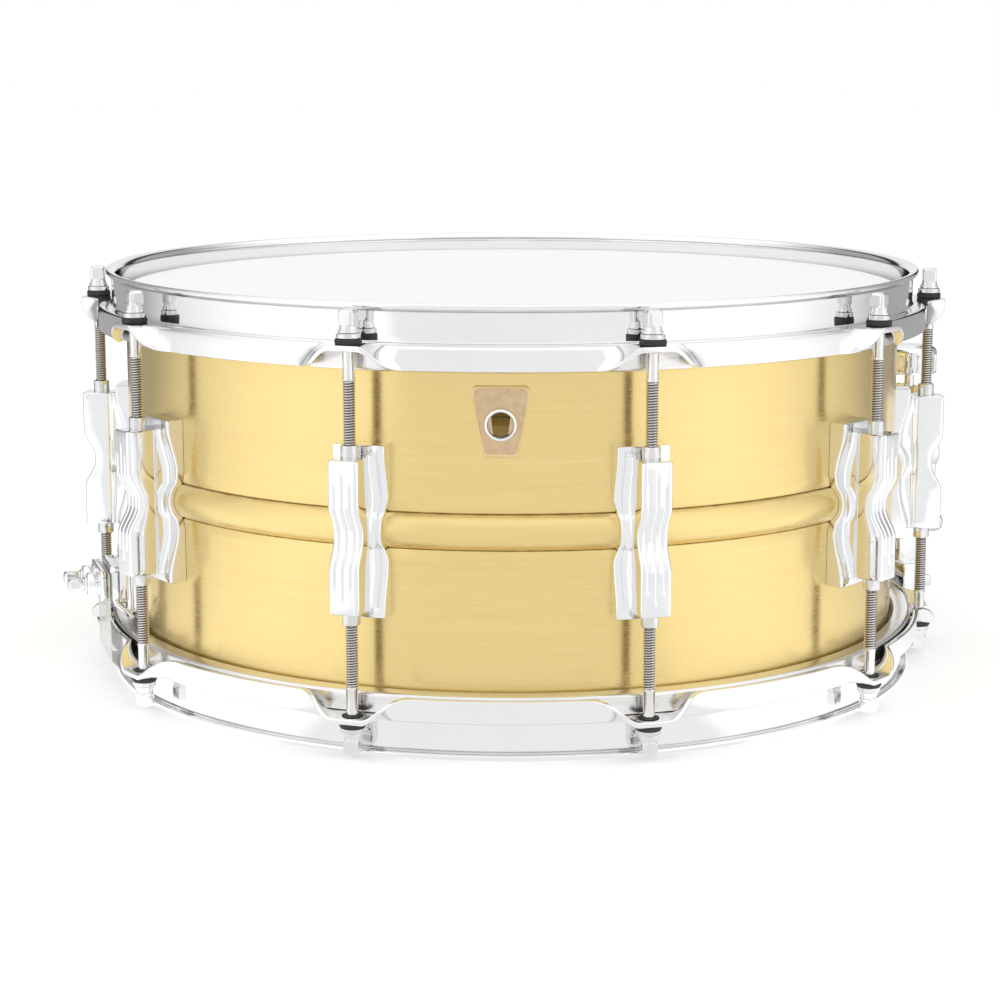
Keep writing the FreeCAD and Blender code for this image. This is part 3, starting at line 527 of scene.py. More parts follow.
def shell_mesh():
    groove = 0.35
    ups = list(np.linspace(-EDGE_UP + 3.5, -BEAD_HALF - 0.8, 16))
    bead = np.linspace(-BEAD_HALF, BEAD_HALF, 25)
    outer = [(SHELL_R, u) for u in ups]
    outer += [(SHELL_R - groove, -BEAD_HALF - 0.25)]
    outer += [(SHELL_R + float(bead_out(u)), u) for u in bead[1:-1]]
    outer += [(SHELL_R - groove, BEAD_HALF + 0.25)]
    outer += [(SHELL_R, -u) for u in reversed(ups)]
    top = EDGE_UP
    inner_r = SHELL_R - SHELL_WALL
    turn_over = [(SHELL_R - 0.2, top - 2.0), (SHELL_R - 0.9, top - 0.9), (SHELL_R - 1.8, top - 0.25),
                 (SHELL_R - 2.9, top), (172.0, top - 0.75), (168.4, top - 2.9), (167.9, top - 3.3),
                 (167.5, top - 3.9), (167.9, top - 4.3), (172.0, top - 2.2), (173.2, top - 1.5),
                 (inner_r - 0.8, top - 1.7), (inner_r - 0.15, top - 2.5)]
    inner = [(inner_r, -u) for u in ups]
    inner += [(inner_r + float(bead_out(u)), -u) for u in bead[1:-1]]
    inner += [(inner_r, u) for u in reversed(ups)]
    lower = [(r, -u) for r, u in reversed(turn_over)]
    profile = outer + turn_over + inner + lower
    rows = revolve([(r, MID + u) for r, u in profile], RING_COUNT)
    return to_mesh("shell", *closed_ring(rows))


def closed_ring(rows):
    """A revolved closed profile: rows follow the profile and wrap on to the first."""
    count, width = rows.shape[:2]
    return rows.reshape(-1, 3), grid_faces(count, width, True, True)


RING_COUNT = 300
HEAD_COUNT = 200
BADGE_ANGLE = -18.0
VENT_UP = float((node_box("vent_grommet")[0][2] + node_box("vent_grommet")[1][2]) / 2 - MID)


def make_shell():
    mesh = shell_mesh()
    drill = soft_prism(circle(5.65, 40), 160.0, 185.0, SHARP_RIM, 1)
    drill = along_x(drill) + np.array([0, 0, MID + VENT_UP])
    cutter = Parts().loft(drill).turned_by(BADGE_ANGLE - 90.0)
    mesh = cut(mesh, cutter)
    shade(mesh, SHARP)
    piece("shell_brass_tube", mesh, BRASS, "drum", ["shell"])


FILM = 0.25


def make_head(name, node, side, material):
    """The flat of a head, out to where its collar turns down."""
    low, high = node_box(node)
    edge = high[0]
    top = abs((high[2] if side > 0 else low[2]) - MID)
    outer = [(r, top) for r in np.linspace(0.05, edge - 6, 24)] + [(edge - 3, top), (edge, top - 0.02)]
    profile = outer + [(r, u - FILM) for r, u in reversed(outer)]
    rows = revolve([(r, MID + side * u) for r, u in profile], HEAD_COUNT)
    piece(name, to_mesh(name, *closed_ring(rows)), material, "drum", [node])


def make_head_collars():
    """The turned-down edge of each film, coated above and clear below."""
    high = node_box("head_collars")[1]
    out = high[0]
    top, foot = high[2] - MID, 66.0
    flat = node_box("batter_head")[1][0]
    outer = [(flat, top - 0.02), (out - 1.9, top - 0.35), (out - 0.8, top - 1.1), (out - 0.2, top - 2.1),
             (out, top - 3.2), (out, foot + 4), (out, foot)]
    inner = [(r - FILM * (u < top - 1), u - FILM * (u > top - 3)) for r, u in reversed(outer)]
    parts = Parts()
    for side in (1, -1):
        rows = revolve([(r, MID + side * u) for r, u in outer + inner], HEAD_COUNT)
        parts.add(*closed_ring(rows))
    mesh = parts.mesh("head_film_collars")
    mesh.materials.append(COATED)
    mesh.materials.append(CLEAR)
    for polygon in mesh.polygons:
        polygon.material_index = int(polygon.center[2] < MID * MM)
    piece("head_film_collars", mesh, COATED, "drum", ["head_collars"])


def make_flesh_ring(name, node, side):
    low, high = node_box(node)
    inner, outer = 177.75, high[0]
    bottom, top = sorted((abs(low[2] - MID), abs(high[2] - MID)))
    section = arc(outer - 1.6, bottom + 1.6, 1.6, -90, 0, 6)
    section += arc(outer - 0.7, top - 0.7, 0.7, 0, 90, 4)
    section += [(inner + 3.4, top), (inner + 2.6, top - 0.8), (inner + 0.6, top - 0.9), (inner, top - 1.6)]
    section += arc(inner + 0.7, bottom + 0.7, 0.7, 180, 270, 4)
    rows = revolve([(r, MID + side * u) for r, u in section], RING_COUNT)
    if side < 0:
        rows = rows[::-1]
    mesh = to_mesh(name, *closed_ring(rows[::-1]))
    piece(name, mesh, FLESH, "drum", [node])


# ---------------------------------------------------------------- hoops

def rounding(centre_r, centre_up, radius, start, end, count):
    """A bend of the hoop's sheet as (r, up, normal r, normal up), without its first point."""
    bend_points = []
    for a in np.linspace(start, end, count)[1:]:
        c, s = cos_sin(a)
        bend_points.append((centre_r + radius * c, centre_up + radius * s, c, s))
    return bend_points


def hoop_section(offset):
    """Middle line of the pressed sheet as (r, up) points with outward normals, at a distance from a rod."""
    bend_share = float(smooth((abs(offset) - EAR_FLAT) / (EAR_SWEEP - EAR_FLAT)))
    turn = math.pi / 2 * bend_share
    shelf = SHELF_UP - SHEET / 2
    full_length = shelf - BEND - SKIRT_UP + BEND * math.pi / 2
    ear_length = EAR_TIP_R - BEND_R
    length = full_length + (ear_length - full_length) * (1 - bend_share)
    roll_r = COLLAR_R + LIP_ROLL
    roll_up = LIP_UP - SHEET / 2 - LIP_ROLL
    points = [(184.0, LIP_UP - SHEET / 2, 0.0, 1.0), (roll_r, LIP_UP - SHEET / 2, 0.0, 1.0)]
    points += rounding(roll_r, roll_up, LIP_ROLL, 90, 180, 8)
    for up in np.linspace(roll_up, shelf + FOOT_BEND, 6)[1:]:
        points.append((COLLAR_R, up, -1.0, 0.0))
    points += rounding(COLLAR_R + FOOT_BEND, shelf + FOOT_BEND, FOOT_BEND, 180, 270, 5)
    points.append(((COLLAR_R + FOOT_BEND + BEND_R) / 2, shelf, 0.0, -1.0))
    for share in np.linspace(0, 1, 7):
        a = math.pi / 2 - turn * share
        c, s = math.cos(a), math.sin(a)
        points.append((BEND_R + BEND * c, shelf - BEND + BEND * s, -c, -s))
    r0, u0, nr, nu = points[-1]
    straight = length - BEND * turn
    for share in (0.25, 0.5, 0.75, 0.93, 1.0):
        run = straight * share
        points.append((r0 + run * math.cos(turn), u0 - run * math.sin(turn), nr, nu))
    return np.array(points)


def hoop_outline(offset):
    """Closed section of the sheet, with its two edges rounded."""
    middle = hoop_section(offset)
    centre, normal = middle[:, :2], middle[:, 2:]
    half = SHEET / 2
    one = centre + normal * half
    other = centre - normal * half
    start_dir = centre[0] - centre[1]
    start_dir /= np.linalg.norm(start_dir)
    end_dir = centre[-1] - centre[-2]
    end_dir /= np.linalg.norm(end_dir)
    lip_cap = []
    for a in np.linspace(-90, 90, 7)[1:-1]:
        t = math.radians(a)
        lip_cap.append(centre[0] + start_dir * half * 0.75 * math.cos(t) + normal[0] * half * math.sin(t))
    tip_cap = []
    for n, t in ((0.96, 0.16), (0.82, 0.34), (0.6, 0.42), (-0.6, 0.42), (-0.82, 0.34), (-0.96, 0.16)):
        tip_cap.append(centre[-1] + end_dir * (t - 0.42) + normal[-1] * half * n)
    one[-1] = one[-1] - end_dir * 0.42
    other[-1] = other[-1] - end_dir * 0.42
    return np.concatenate([one, np.array(tip_cap), other[::-1], np.array(lip_cap)])


def hoop_angles():
    """Angles round the hoop, close together where the flange turns up to an ear."""
    reach = EAR_SWEEP + 2
    quarter = ROD_R * math.radians(STEP / 2)
    near = np.arange(0, reach, 0.9)
    far = np.linspace(reach, quarter, 12)
    half = np.concatenate([near, far[:-1]])
    return np.concatenate([[-quarter], -half[:0:-1], half])


def hoop_mesh(name):
    rows = []
    for index in range(LUGS):
        for offset in hoop_angles():
            angle = math.radians(index * STEP - 90.0) + offset / ROD_R
            outline = hoop_outline(offset)
            c, s = math.cos(angle), math.sin(angle)
            rows.append(np.stack([outline[:, 0] * c, outline[:, 0] * s, MID + outline[:, 1]], 1))
    rows = np.array(rows)
    return to_mesh(name, *closed_ring(rows), HOOP_SHARP)


def ear_drills():
    parts = Parts()
    for index in range(LUGS):
        hole = circle(EAR_HOLE_R, 32) + np.array([ROD_R, 0])
        drill = Parts().loft(soft_prism(hole, MID + 70, MID + 79, SHARP_RIM, 1))
        parts.join(drill.turned_by(index * STEP - 90.0))
    return parts


def make_hoop(name, node, side):
    mesh = hoop_mesh(name)
    parts = ear_drills()
    if side < 0:
        for turn in (0, 180):
            middle = (0, MID + sum(GATE_UP) / 2)
            outline = rounded_rectangle(GATE_HALF, (GATE_UP[1] - GATE_UP[0]) / 2, 2.0, 5, middle)
            gate = Parts().loft(along_x(soft_prism(outline, 176.0, 183.3, SHARP_RIM, 1)))
            parts.join(gate.turned_by(turn))
    mesh = cut(mesh, parts)
    if side < 0:
        mesh.transform(Matrix.Translation((0, 0, 2 * MID * MM)) @ UPSIDE)
    shade(mesh, HOOP_SHARP)
    piece(name, mesh, HOOP_CHROME, "drum", [node])


# ---------------------------------------------------------------- rods, washers, inserts

THREAD_TOP_UP = 62.3
THREAD_PITCH = 1.06
THREAD_DEPTH = 0.72
THREAD_R = 2.7
SHANK_R = 2.4
INSERT_TOP_UP = 36.2


def square_ring(half, power, count=32):
    """A ring that goes from a circle at power 2 to a square with round corners at a high power."""
    a = np.arange(count) * TAU / count
    c, s = np.cos(a), np.sin(a)
    r = half / (np.abs(c) ** power + np.abs(s) ** power) ** (1.0 / power)
    return np.stack([r * c, r * s], 1)


def key_head(base, top, side, count=32, foot=1.25):
    """Rows of a square key head that flares into a round foot, from base to top along Z."""
    half = side / 2
    height = top - base
    rows = []
    for share, size, power in ((0.0, foot, 2.0), (0.05, foot * 0.985, 2.0), (0.10, foot * 0.93, 2.3),
                               (0.16, 1.08, 3.2), (0.24, 1.01, 6.0), (0.34, 1.0, 9.0), (0.80, 1.0, 9.0),
                               (0.87, 0.985, 8.0), (0.93, 0.93, 6.0), (0.965, 0.84, 5.0), (0.985, 0.66, 4.0),
                               (0.996, 0.4, 3.0), (1.0, 0.12, 2.0)):
        ring = square_ring(half * size, power, count)
        rows.append(at_height(ring, base + height * share))
    return rows


THREAD_COUNT = 24
THREAD_RUN_OUT = 1.2


def threaded(low, high, crest, depth, pitch, run_in=None, per_turn=8):
    """Rows of a screw thread that fades out at its top, and at its foot when a run-in length is given."""
    a = np.arange(THREAD_COUNT) * TAU / THREAD_COUNT
    rows = []
    for i in range(int((high - low) / pitch * per_turn)):
        up = low + i * pitch / per_turn
        phase = (up / pitch - a / TAU) % 1.0
        flank = np.clip(np.abs(phase * 2 - 1) * 1.25 - 0.12, 0, 1)
        fade = min(1.0, (high - up) / THREAD_RUN_OUT)
        if run_in:
            fade = min(fade, (up - low) / run_in + 0.1)
        r = crest - depth * flank * max(fade, 0.0)
        rows.append(np.stack([r * np.cos(a), r * np.sin(a), np.full(THREAD_COUNT, up)], 1))
    return rows


def rod_mesh():
    foot = [(0.3, THREAD_END_UP), (1.7, THREAD_END_UP + 0.1), (2.35, THREAD_END_UP + 1.0),
            (2.35, INSERT_TOP_UP - 2.2)]
    shank = [(2.62, THREAD_TOP_UP + 0.25), (SHANK_R, THREAD_TOP_UP + 0.8), (SHANK_R, 70.0), (SHANK_R, 80.3)]
    thread = threaded(INSERT_TOP_UP - 2.0, THREAD_TOP_UP, THREAD_R, THREAD_DEPTH, THREAD_PITCH)
    parts = Parts().loft([*revolve(foot, THREAD_COUNT), *thread, *revolve(shank, THREAD_COUNT)])
    collar = [(2.0, 80.36), (3.9, 80.36), (4.1, 80.5), (4.15, 80.75), (4.15, 81.35), (4.02, 81.55),
              (3.7, 81.62), (3.62, 81.8), (3.6, 82.5), (2.0, 82.6)]
    parts.loft(revolve(collar, 36))
    parts.loft(key_head(82.4, ROD_TIP_UP, 6.4, 36, 1.12))
    return to_mesh("tension_rod", np.array(parts.points) + np.array([ROD_R, 0, 0]), parts.faces, 40.0)


def make_rods():
    mesh = rod_mesh()
    for index in range(LUGS):
        number = "%02d" % (index + 1)
        for side, flip in (("batter", Matrix.Identity(4)), ("snare", UPSIDE)):
            node = "rod_%s_%s" % (side, number)
            piece("tension_" + node, mesh, TENSION_ROD, node, [node],
                  about(index * STEP) @ AT_MID @ flip)


def tube_rows(inner, profile, count=40):
    """Rows of a turned ring: the outer profile, then back down a straight bore."""
    full = list(profile) + [(inner, profile[-1][1]), (inner, profile[0][1])]
    return revolve(full, count)


def ring_on_every_rod(name, profile, inner, material, node, count=40):
    parts = Parts()
    rows = tube_rows(inner, profile, count)
    for index in range(LUGS):
        for side in (1, -1):
            points = rows.reshape(-1, 3) + np.array([ROD_R, 0, 0])
            if side < 0:
                points = points * np.array([1, -1, -1])
            one = Parts().add(points + np.array([0, 0, MID]), grid_faces(rows.shape[0], count, True, True))
            parts.join(one.turned_by(index * STEP - 90.0))
    piece(name, parts.mesh(name), material, "drum", [node])


def make_rod_hardware():
    washer = [(4.6, 78.3), (4.9, 78.45), (4.95, 78.8), (4.95, 79.9), (4.85, 80.15), (4.6, 80.28)]
    ring_on_every_rod("rod_washers_steel", washer, 2.55, STEEL, "rod_washers")
    black = [(4.15, 73.2), (4.2, 75.93), (5.1, 75.95), (5.35, 76.2), (5.42, 76.9), (5.38, 77.7), (5.1, 78.1),
             (4.7, 78.24)]
    ring_on_every_rod("rod_washers_rubber", black, 2.55, RUBBER, "rod_rubber_washers")
    insert = [(3.3, 13.0), (3.65, 13.4), (3.65, 30.0), (3.55, 30.7), (3.62, 31.6), (3.65, 35.6), (3.5, 36.05),
              (3.2, 36.2)]
    ring_on_every_rod("lug_inserts_steel", insert, 2.78, STEEL, "lug_inserts")


# ---------------------------------------------------------------- lugs

POST_UP = 31.0
POST_HALF = 6.45
POST_IN_R = 186.3
WEB_HALF = 4.6
WAIST = 4.8


def face_r(up):
    return LUG_FACE_R - WAIST * float(smooth((13.2 - abs(up)) / 11.8))


def flange_front(up):
    """How far the flange's front stands from the drum's axis."""
    up = abs(up)
    wedge = 3.6 + 4.0 * float(smooth((up - 12.0) / 21.0))
    return SHELL_R + max(wedge, 2.5 + float(bead_out(up * 0.84)) + 0.25 * max(0.0, 9.0 - up) / 9.0)


def flange_half(up):
    return LUG_FLANGE_HALF - 2.2 * float(smooth((13.5 - abs(up)) / 9.5))


GROOVES = ((0.0, 26.0), (3.35, 21.4))


def post_outline(up, inset):
    """Half and mirrored half of the post and web's section at a height, as (r, y) points, anticlockwise."""
    front = flange_front(up)
    flare = 3.2
    face = face_r(up) - inset
    half = POST_HALF - inset
    web = WEB_HALF - 0.5 * float(smooth((14 - abs(up)) / 10))
    web -= inset
    points = [(front - 1.0, web + flare * 0.98)]
    for a in np.linspace(-90, -180, 7):
        c, s = cos_sin(a)
        points.append((front + flare + flare * s, web + flare + flare * c))
    back = POST_IN_R + 0.4
    start = front + flare
    for share in (0.35, 0.7):
        points.append((start + (back - 1.6 - start) * share, web))
    for share in np.linspace(0, 1, 6):
        points.append((back - 1.6 + 2.6 * share, web + (half - web) * float(smooth(share))))
    corner = 1.7
    points.append(((back + 1.4 + face - corner) / 2, half + 0.05))
    for a in np.linspace(90, 0, 7):
        c, s = cos_sin(a)
        points.append((face - corner + corner * c, half - corner + corner * s))
    for y in (4.35, 4.1, 3.85, 3.6, 3.35, 3.1, 2.85, 2.6, 2.35, 1.6, 0.9, 0.72, 0.48, 0.24, 0.0):
        depth = 0.0
        for centre, reach in GROOVES:
            width = 0.62
            near = float(smooth(1 - abs(y - centre) / width))
            depth += 0.42 * near * float(smooth((reach - abs(up)) / 1.6))
        crown = 0.12 * (y / POST_HALF) ** 2
        points.append((face - depth - crown, min(y, half - corner)))
    upper = points
    lower = [(r, -y) for r, y in reversed(points[:-1])]
    return np.array(upper + lower)[::-1]


def lug_rows(top, edge, make_outline, breaks):
    ups = []
    a = np.linspace(0, math.pi / 2, 5)
    for t in a:
        ups.append((-top + edge * (1 - math.cos(t)), edge * (1 - math.sin(t))))
    inner = top - edge
    steps = np.unique(np.round(np.concatenate([np.linspace(-inner, inner, 25), breaks, -breaks]), 4))
    steps = [u for u in steps if abs(u) < inner - 0.05]
    ups += [(u, 0.0) for u in steps]
    for t in a[::-1]:
        ups.append((top - edge * (1 - math.cos(t)), edge * (1 - math.sin(t))))
    rows = []
    for up, inset in ups:
        outline = make_outline(up, inset)
        rows.append(at_height(outline, up))
    return np.array(rows)


def flange_outline(up, inset):
    half = flange_half(up) - inset
    back = SHELL_R + float(bead_out(up)) + 0.1
    front = flange_front(up) - inset * 0.8
    edge_front = front - 0.5
    points = []
    for share in np.linspace(0, 1, 6):
        y = half * share
        points.append((math.sqrt(back ** 2 - y ** 2), y))
    corner = 0.8
    points.append((edge_front - corner * 1.2, half))
    for a in np.linspace(90, 15, 5):
        c, s = cos_sin(a)
        points.append((edge_front - corner + corner * c, half - corner + corner * s))
    for share in (0.75, 0.5, 0.25, 0.0):
        points.append((edge_front + 0.5 * (1 - share), (half - corner) * share))
    lower = [(r, -y) for r, y in reversed(points[1:-1])]
    return np.array(points + lower)[::-1]


def lug_mesh():
    fine = np.concatenate([np.arange(0.0, 14.5, 0.7), [19.0, 20.0, 20.6, 21.4, 24.0, 25.0, 25.6, 26.2]])
    post = Parts().loft(lug_rows(POST_UP, 0.7, post_outline, fine)[:, ::-1])
    post_mesh = post.mesh("lug_post")
    drills = Parts()
    for low, high in ((12.8, 42.0), (-42.0, -12.8)):
        drills.loft(soft_prism(circle(3.7, 32) + np.array([ROD_R, 0]), low, high, SHARP_RIM, 1))
    post_mesh = cut(post_mesh, drills)
    flange = Parts().loft(lug_rows(LUG_FLANGE_UP, 0.7, flange_outline, fine)[:, ::-1])
    return Parts().take(post_mesh).join(flange).mesh("lug_casting", 40.0)


def make_lugs():
    mesh = lug_mesh()
    for index in range(LUGS):
        node = "lug_%02d" % (index + 1)
        piece("casting_" + node, mesh, CHROME, "drum", [node], about(index * STEP) @ AT_MID)


# ---------------------------------------------------------------- badge and vent

BADGE_HOLE_R = 5.7
BADGE_RIM_ROWS = 6


def make_badge():
    low, high = node_box("badge")
    bottom, top = low[2] - MID, high[2] - MID
    narrow, wide = 7.0, 11.6
    outline = arc(narrow * -1 + 1.2, bottom + 1.2, 1.2, 180, 270, 4)
    outline += arc(narrow - 1.2, bottom + 1.2, 1.2, 270, 352, 4)
    outline += [(wide, top - 3.4)] + arc(wide - 2.4, top - 2.4, 2.4, 20, 90, 5)
    outline += arc(2.4 - wide, top - 2.4, 2.4, 90, 160, 5) + [(-wide, top - 3.4)]
    outline = np.array(outline)
    centre = np.array([0.0, (bottom + top) / 2])
    rows = []
    for inset, out in ((0.0, 0.1), (0.0, 0.7), (0.12, 0.95), (0.4, 1.05), (0.9, 1.05), (1.15, 0.95),
                       (1.3, 0.72), (1.5, 0.66), (4.0, 0.66)):
        scale = 1 - inset / np.linalg.norm(outline - centre, axis=1)
        flat = centre + (outline - centre) * scale[:, None]
        rows.append((flat, out))
    order = np.arctan2(outline[:, 1] - VENT_UP, outline[:, 0])
    hole = np.stack([BADGE_HOLE_R * np.cos(order), VENT_UP + BADGE_HOLE_R * np.sin(order)], 1)
    rows += [(hole, 0.66), (hole, 0.1)]
    points = []
    for flat, out in rows:
        for y, up in flat:
            r = SHELL_R + out
            a = y / SHELL_R
            points.append((r * math.cos(a), r * math.sin(a), MID + up))
    width = len(outline)
    parts = Parts().add(points, grid_faces(len(rows), width, True, True))
    parts.turned_by(BADGE_ANGLE - 90.0)
    mesh = parts.mesh("badge_plate", 50.0)
    mesh.materials.append(BADGE_FACE)
    mesh.materials.append(PLATE_BRASS)
    for polygon in mesh.polygons:
        if polygon.index // width < BADGE_RIM_ROWS:
            polygon.material_index = 1
    piece("badge_plate", mesh, BADGE_FACE, "drum", ["badge"])


def make_grommet():
    face = SHELL_R + 1.2
    section = [(5.0, 173.9), (6.6, 173.9), (6.7, 174.2), (6.6, 174.7), (5.55, 174.8), (5.55, face - 0.1),
               (6.2, face), (6.35, face + 0.3), (6.25, face + 0.75), (5.8, face + 1.0), (5.35, face + 0.9),
               (5.05, face + 0.5), (5.0, face)]
    rows = revolve([(r, out) for r, out in section], 48)
    rows = along_x(rows) + np.array([0, 0, MID + VENT_UP])
    parts = Parts().add(rows.reshape(-1, 3), grid_faces(len(section), 48, True, True))
    parts.turned_by(BADGE_ANGLE - 90.0)
    mesh = parts.mesh("vent_grommet_ring")
    piece("vent_grommet_ring", mesh, CHROME, "drum", ["vent_grommet"])


# ---------------------------------------------------------------- small hardware, made on the +X side

HALF_TURN = 180.0


def turned_form(profile, r=0.0, y=0.0, up=0.0, axis="x", count=32):
    """Rows of a turned form from (radius, along) pairs; along runs outwards on X or upwards on Z."""
    rows = revolve(profile, count)
    if axis == "x":
        return along_x(rows) + np.array([r, y, MID + up])
    return rows + np.array([r, y, MID + up])


def bar(outline, low_r, high_r, edge=0.6):
    """Rows of a plate whose (y, up) outline faces outwards along X."""
    rows = soft_prism(np.asarray(outline, float) + np.array([0.0, MID]), low_r, high_r, edge)
    return along_x(rows)


def plate_on_shell(outline, front_r, edge=0.8):
    """Rows of a plate whose back follows the shell and whose front is flat with a soft rim."""
    outline = np.asarray(outline, float)
    centre = outline.mean(0)
    rows = []
    back = np.sqrt((SHELL_R + 0.05) ** 2 - outline[:, 0] ** 2)
    rows.append(np.column_stack([back, outline[:, 0], MID + outline[:, 1]]))
    for t in np.linspace(0, math.pi / 2, 5):
        inset = edge * (1 - math.cos(t))
        span = np.linalg.norm(outline - centre, axis=1)[:, None]
        flat = centre + (outline - centre) * (1 - inset / span)
        r = np.full(len(flat), front_r - edge * (1 - math.sin(t)))
        rows.append(np.column_stack([r, flat[:, 0], MID + flat[:, 1]]))
    return np.array(rows)


def box_outline(half_y, low_up, high_up, radius, steps=5):
    return rounded_rectangle(half_y, (high_up - low_up) / 2, radius, steps, (0.0, (high_up + low_up) / 2))


def sweep(path, half_width, half_thick, y=0.0, corner=0.4):
    """Rows of a strip that follows (r, up) points, as wide as half_width along Y."""
    path = np.asarray(path, float)
    tangent = np.gradient(path, axis=0)
    tangent /= np.linalg.norm(tangent, axis=1)[:, None]
    normal = np.stack([-tangent[:, 1], tangent[:, 0]], 1)
    rows = []
    for index, (point, n) in enumerate(zip(path, normal)):
        thick = half_thick[index] if np.ndim(half_thick) else half_thick
        ring = np.array(rounded_rectangle(half_width, thick, min(corner, thick * 0.98), 3))
        flat = point + n * ring[:, 1:2]
        rows.append(np.column_stack([flat[:, 0], y + ring[:, 0], MID + flat[:, 1]]))
    return np.array(rows)


def bend(points, radius, steps=6):
    """A path of straight runs joined by arcs of one radius."""
    points = np.asarray(points, float)
    path = [points[0]]
    for before, corner, after in zip(points, points[1:], points[2:]):
        u = (before - corner) / np.linalg.norm(before - corner)
        w = (after - corner) / np.linalg.norm(after - corner)
        half_turn = (math.pi - math.acos(float(np.clip(u @ w, -1, 1)))) / 2
        start = corner + u * radius * math.tan(half_turn)
        stop = corner + w * radius * math.tan(half_turn)
        middle = (u + w) / np.linalg.norm(u + w)
        centre = corner + middle * radius / math.cos(half_turn)
        for share in np.linspace(0, 1, steps):
            toward = start * (1 - share) + stop * share - centre
            path.append(centre + toward / np.linalg.norm(toward) * radius)
    path.append(points[-1])
    return np.array(path)


def finish(name, parts, material, body, node, turn=0.0, angle=SHARP, cutters=None):
    """Makes one piece for one node, cut and turned round the drum as asked."""
    mesh = parts.mesh(name, angle)
    if cutters is not None:
        mesh = cut(mesh, cutters)
        shade(mesh, angle)
    if turn:
        mesh.transform(Matrix.Rotation(math.radians(turn), 4, "Z"))
    piece(name, mesh, material, body, [node])


def bored_ring(outer, bore, r, y, up, axis="z", count=32):
    """Points and faces of a turned ring: the outer (radius, along) profile and a straight bore."""
    profile = list(outer) + [(bore, outer[-1][1]), (bore, outer[0][1])]
    rows = turned_form(profile, r, y, up, axis, count)
    return rows.reshape(-1, 3), grid_faces(len(profile), count, True, True)


def clamp_screw(parts, seat_r, tip_r, start_r, y, up):
    """A key-headed screw: shank, domed collar and square head."""
    shank = [(1.2, start_r), (2.0, start_r + 0.8), (2.0, seat_r + 0.6)]
    parts.loft(turned_form(shank, 0, y, up))
    collar = [(2.0, seat_r), (3.5, seat_r), (3.6, seat_r + 0.12), (3.6, seat_r + 0.5), (3.3, seat_r + 0.95),
              (2.7, seat_r + 1.25), (2.0, seat_r + 1.35)]
    parts.loft(turned_form(collar, 0, y, up))
    head = np.array(key_head(seat_r + 1.2, tip_r, 5.2, 36, 1.15))
    parts.loft(along_x(head) + np.array([0, y, MID + up]))


BUTT_PLATE_R = 183.0
BUTT_BLOCK_R = 189.9
BUTT_CLAMP_R = (192.0, 194.4)
BUTT_BOSS_OUT_R = 199.6
BUTT_SCREW_UP = -46.0
BUTT_SCREW_Y = 8.0
BUTT_TIP_R = 208.0


def make_butt():
    parts = Parts()
    parts.loft(plate_on_shell(box_outline(17.0, -62.5, -29.5, 5.0, 7), BUTT_PLATE_R - 4.2))
    parts.loft(bar(box_outline(14.2, -60.4, -31.6, 3.8, 7), BUTT_PLATE_R - 5.0, BUTT_PLATE_R, 1.6))
    parts.loft(bar(box_outline(15.0, -54.5, -37.5, 3.2, 7), BUTT_PLATE_R - 1.0, BUTT_BLOCK_R, 0.9))
    arm = bend([(BUTT_BLOCK_R - 1.7, -44.0), (BUTT_BLOCK_R - 1.7, -53.5), (180.4, -61.0)], 5.5, 9)
    for y in (-12.9, 12.9):
        parts.loft(sweep(arm, 2.0, np.linspace(1.7, 1.25, len(arm)), y, 0.8))
    front = BUTT_PLATE_R
    rib = [(1.6, front - 0.4), (1.9, front + 0.1), (1.6, front + 0.5), (0.3, front + 0.6)]
    parts.loft(turned_form(rib, 0, 0, -33.4))
    finish("butt_base_casting", parts, CHROME, "drum", "butt_base", HALF_TURN)

    parts = Parts()
    outline = box_outline(17.0, -53.0, -39.0, 4.2, 7)
    parts.loft(bar(outline, BUTT_CLAMP_R[0], BUTT_CLAMP_R[1], 0.55))
    low = BUTT_CLAMP_R[1] - 0.2
    high = BUTT_BOSS_OUT_R
    boss = [(4.3, low), (5.2, low), (5.2, low + 0.9), (4.95, low + 1.15), (4.45, low + 1.3),
            (4.45, low + 1.9), (4.95, low + 2.05), (5.2, low + 2.3), (5.2, high - 0.9), (5.05, high - 0.35),
            (4.6, high), (3.4, high), (3.2, high - 0.15)]
    for y in (-BUTT_SCREW_Y, BUTT_SCREW_Y):
        parts.add(*bored_ring(boss, 2.15, 0, y, BUTT_SCREW_UP, "x", 40))
    finish("butt_clamp_bar", parts, CHROME, "drum", "butt_clamp_plate", HALF_TURN)

    parts = Parts()
    for y in (-BUTT_SCREW_Y, BUTT_SCREW_Y):
        clamp_screw(parts, BUTT_BOSS_OUT_R + 0.05, BUTT_TIP_R, 184.2, y, BUTT_SCREW_UP)
    finish("butt_clamp_key_screws", parts, ROD_CHROME, "drum", "butt_clamp_screws", HALF_TURN)


HOUSING_R = (184.0, 210.7)
HOUSING_HALF = 11.0
HOUSING_UP = (-26.0, 20.0)
RAIL_R = (182.0, 198.9)
RAIL_HALF = 2.5
RAIL_UP = (-55.0, -25.0)
PIVOT_UP = -6.0
LEVER_R = (211.2, 216.6)
LEVER_ARM = 35.0
CHANNEL_BORE_R = 2.4
CLAMP_UP = -68.3
CLAMP_Y = 12.0
JAW_HALF = 21.0


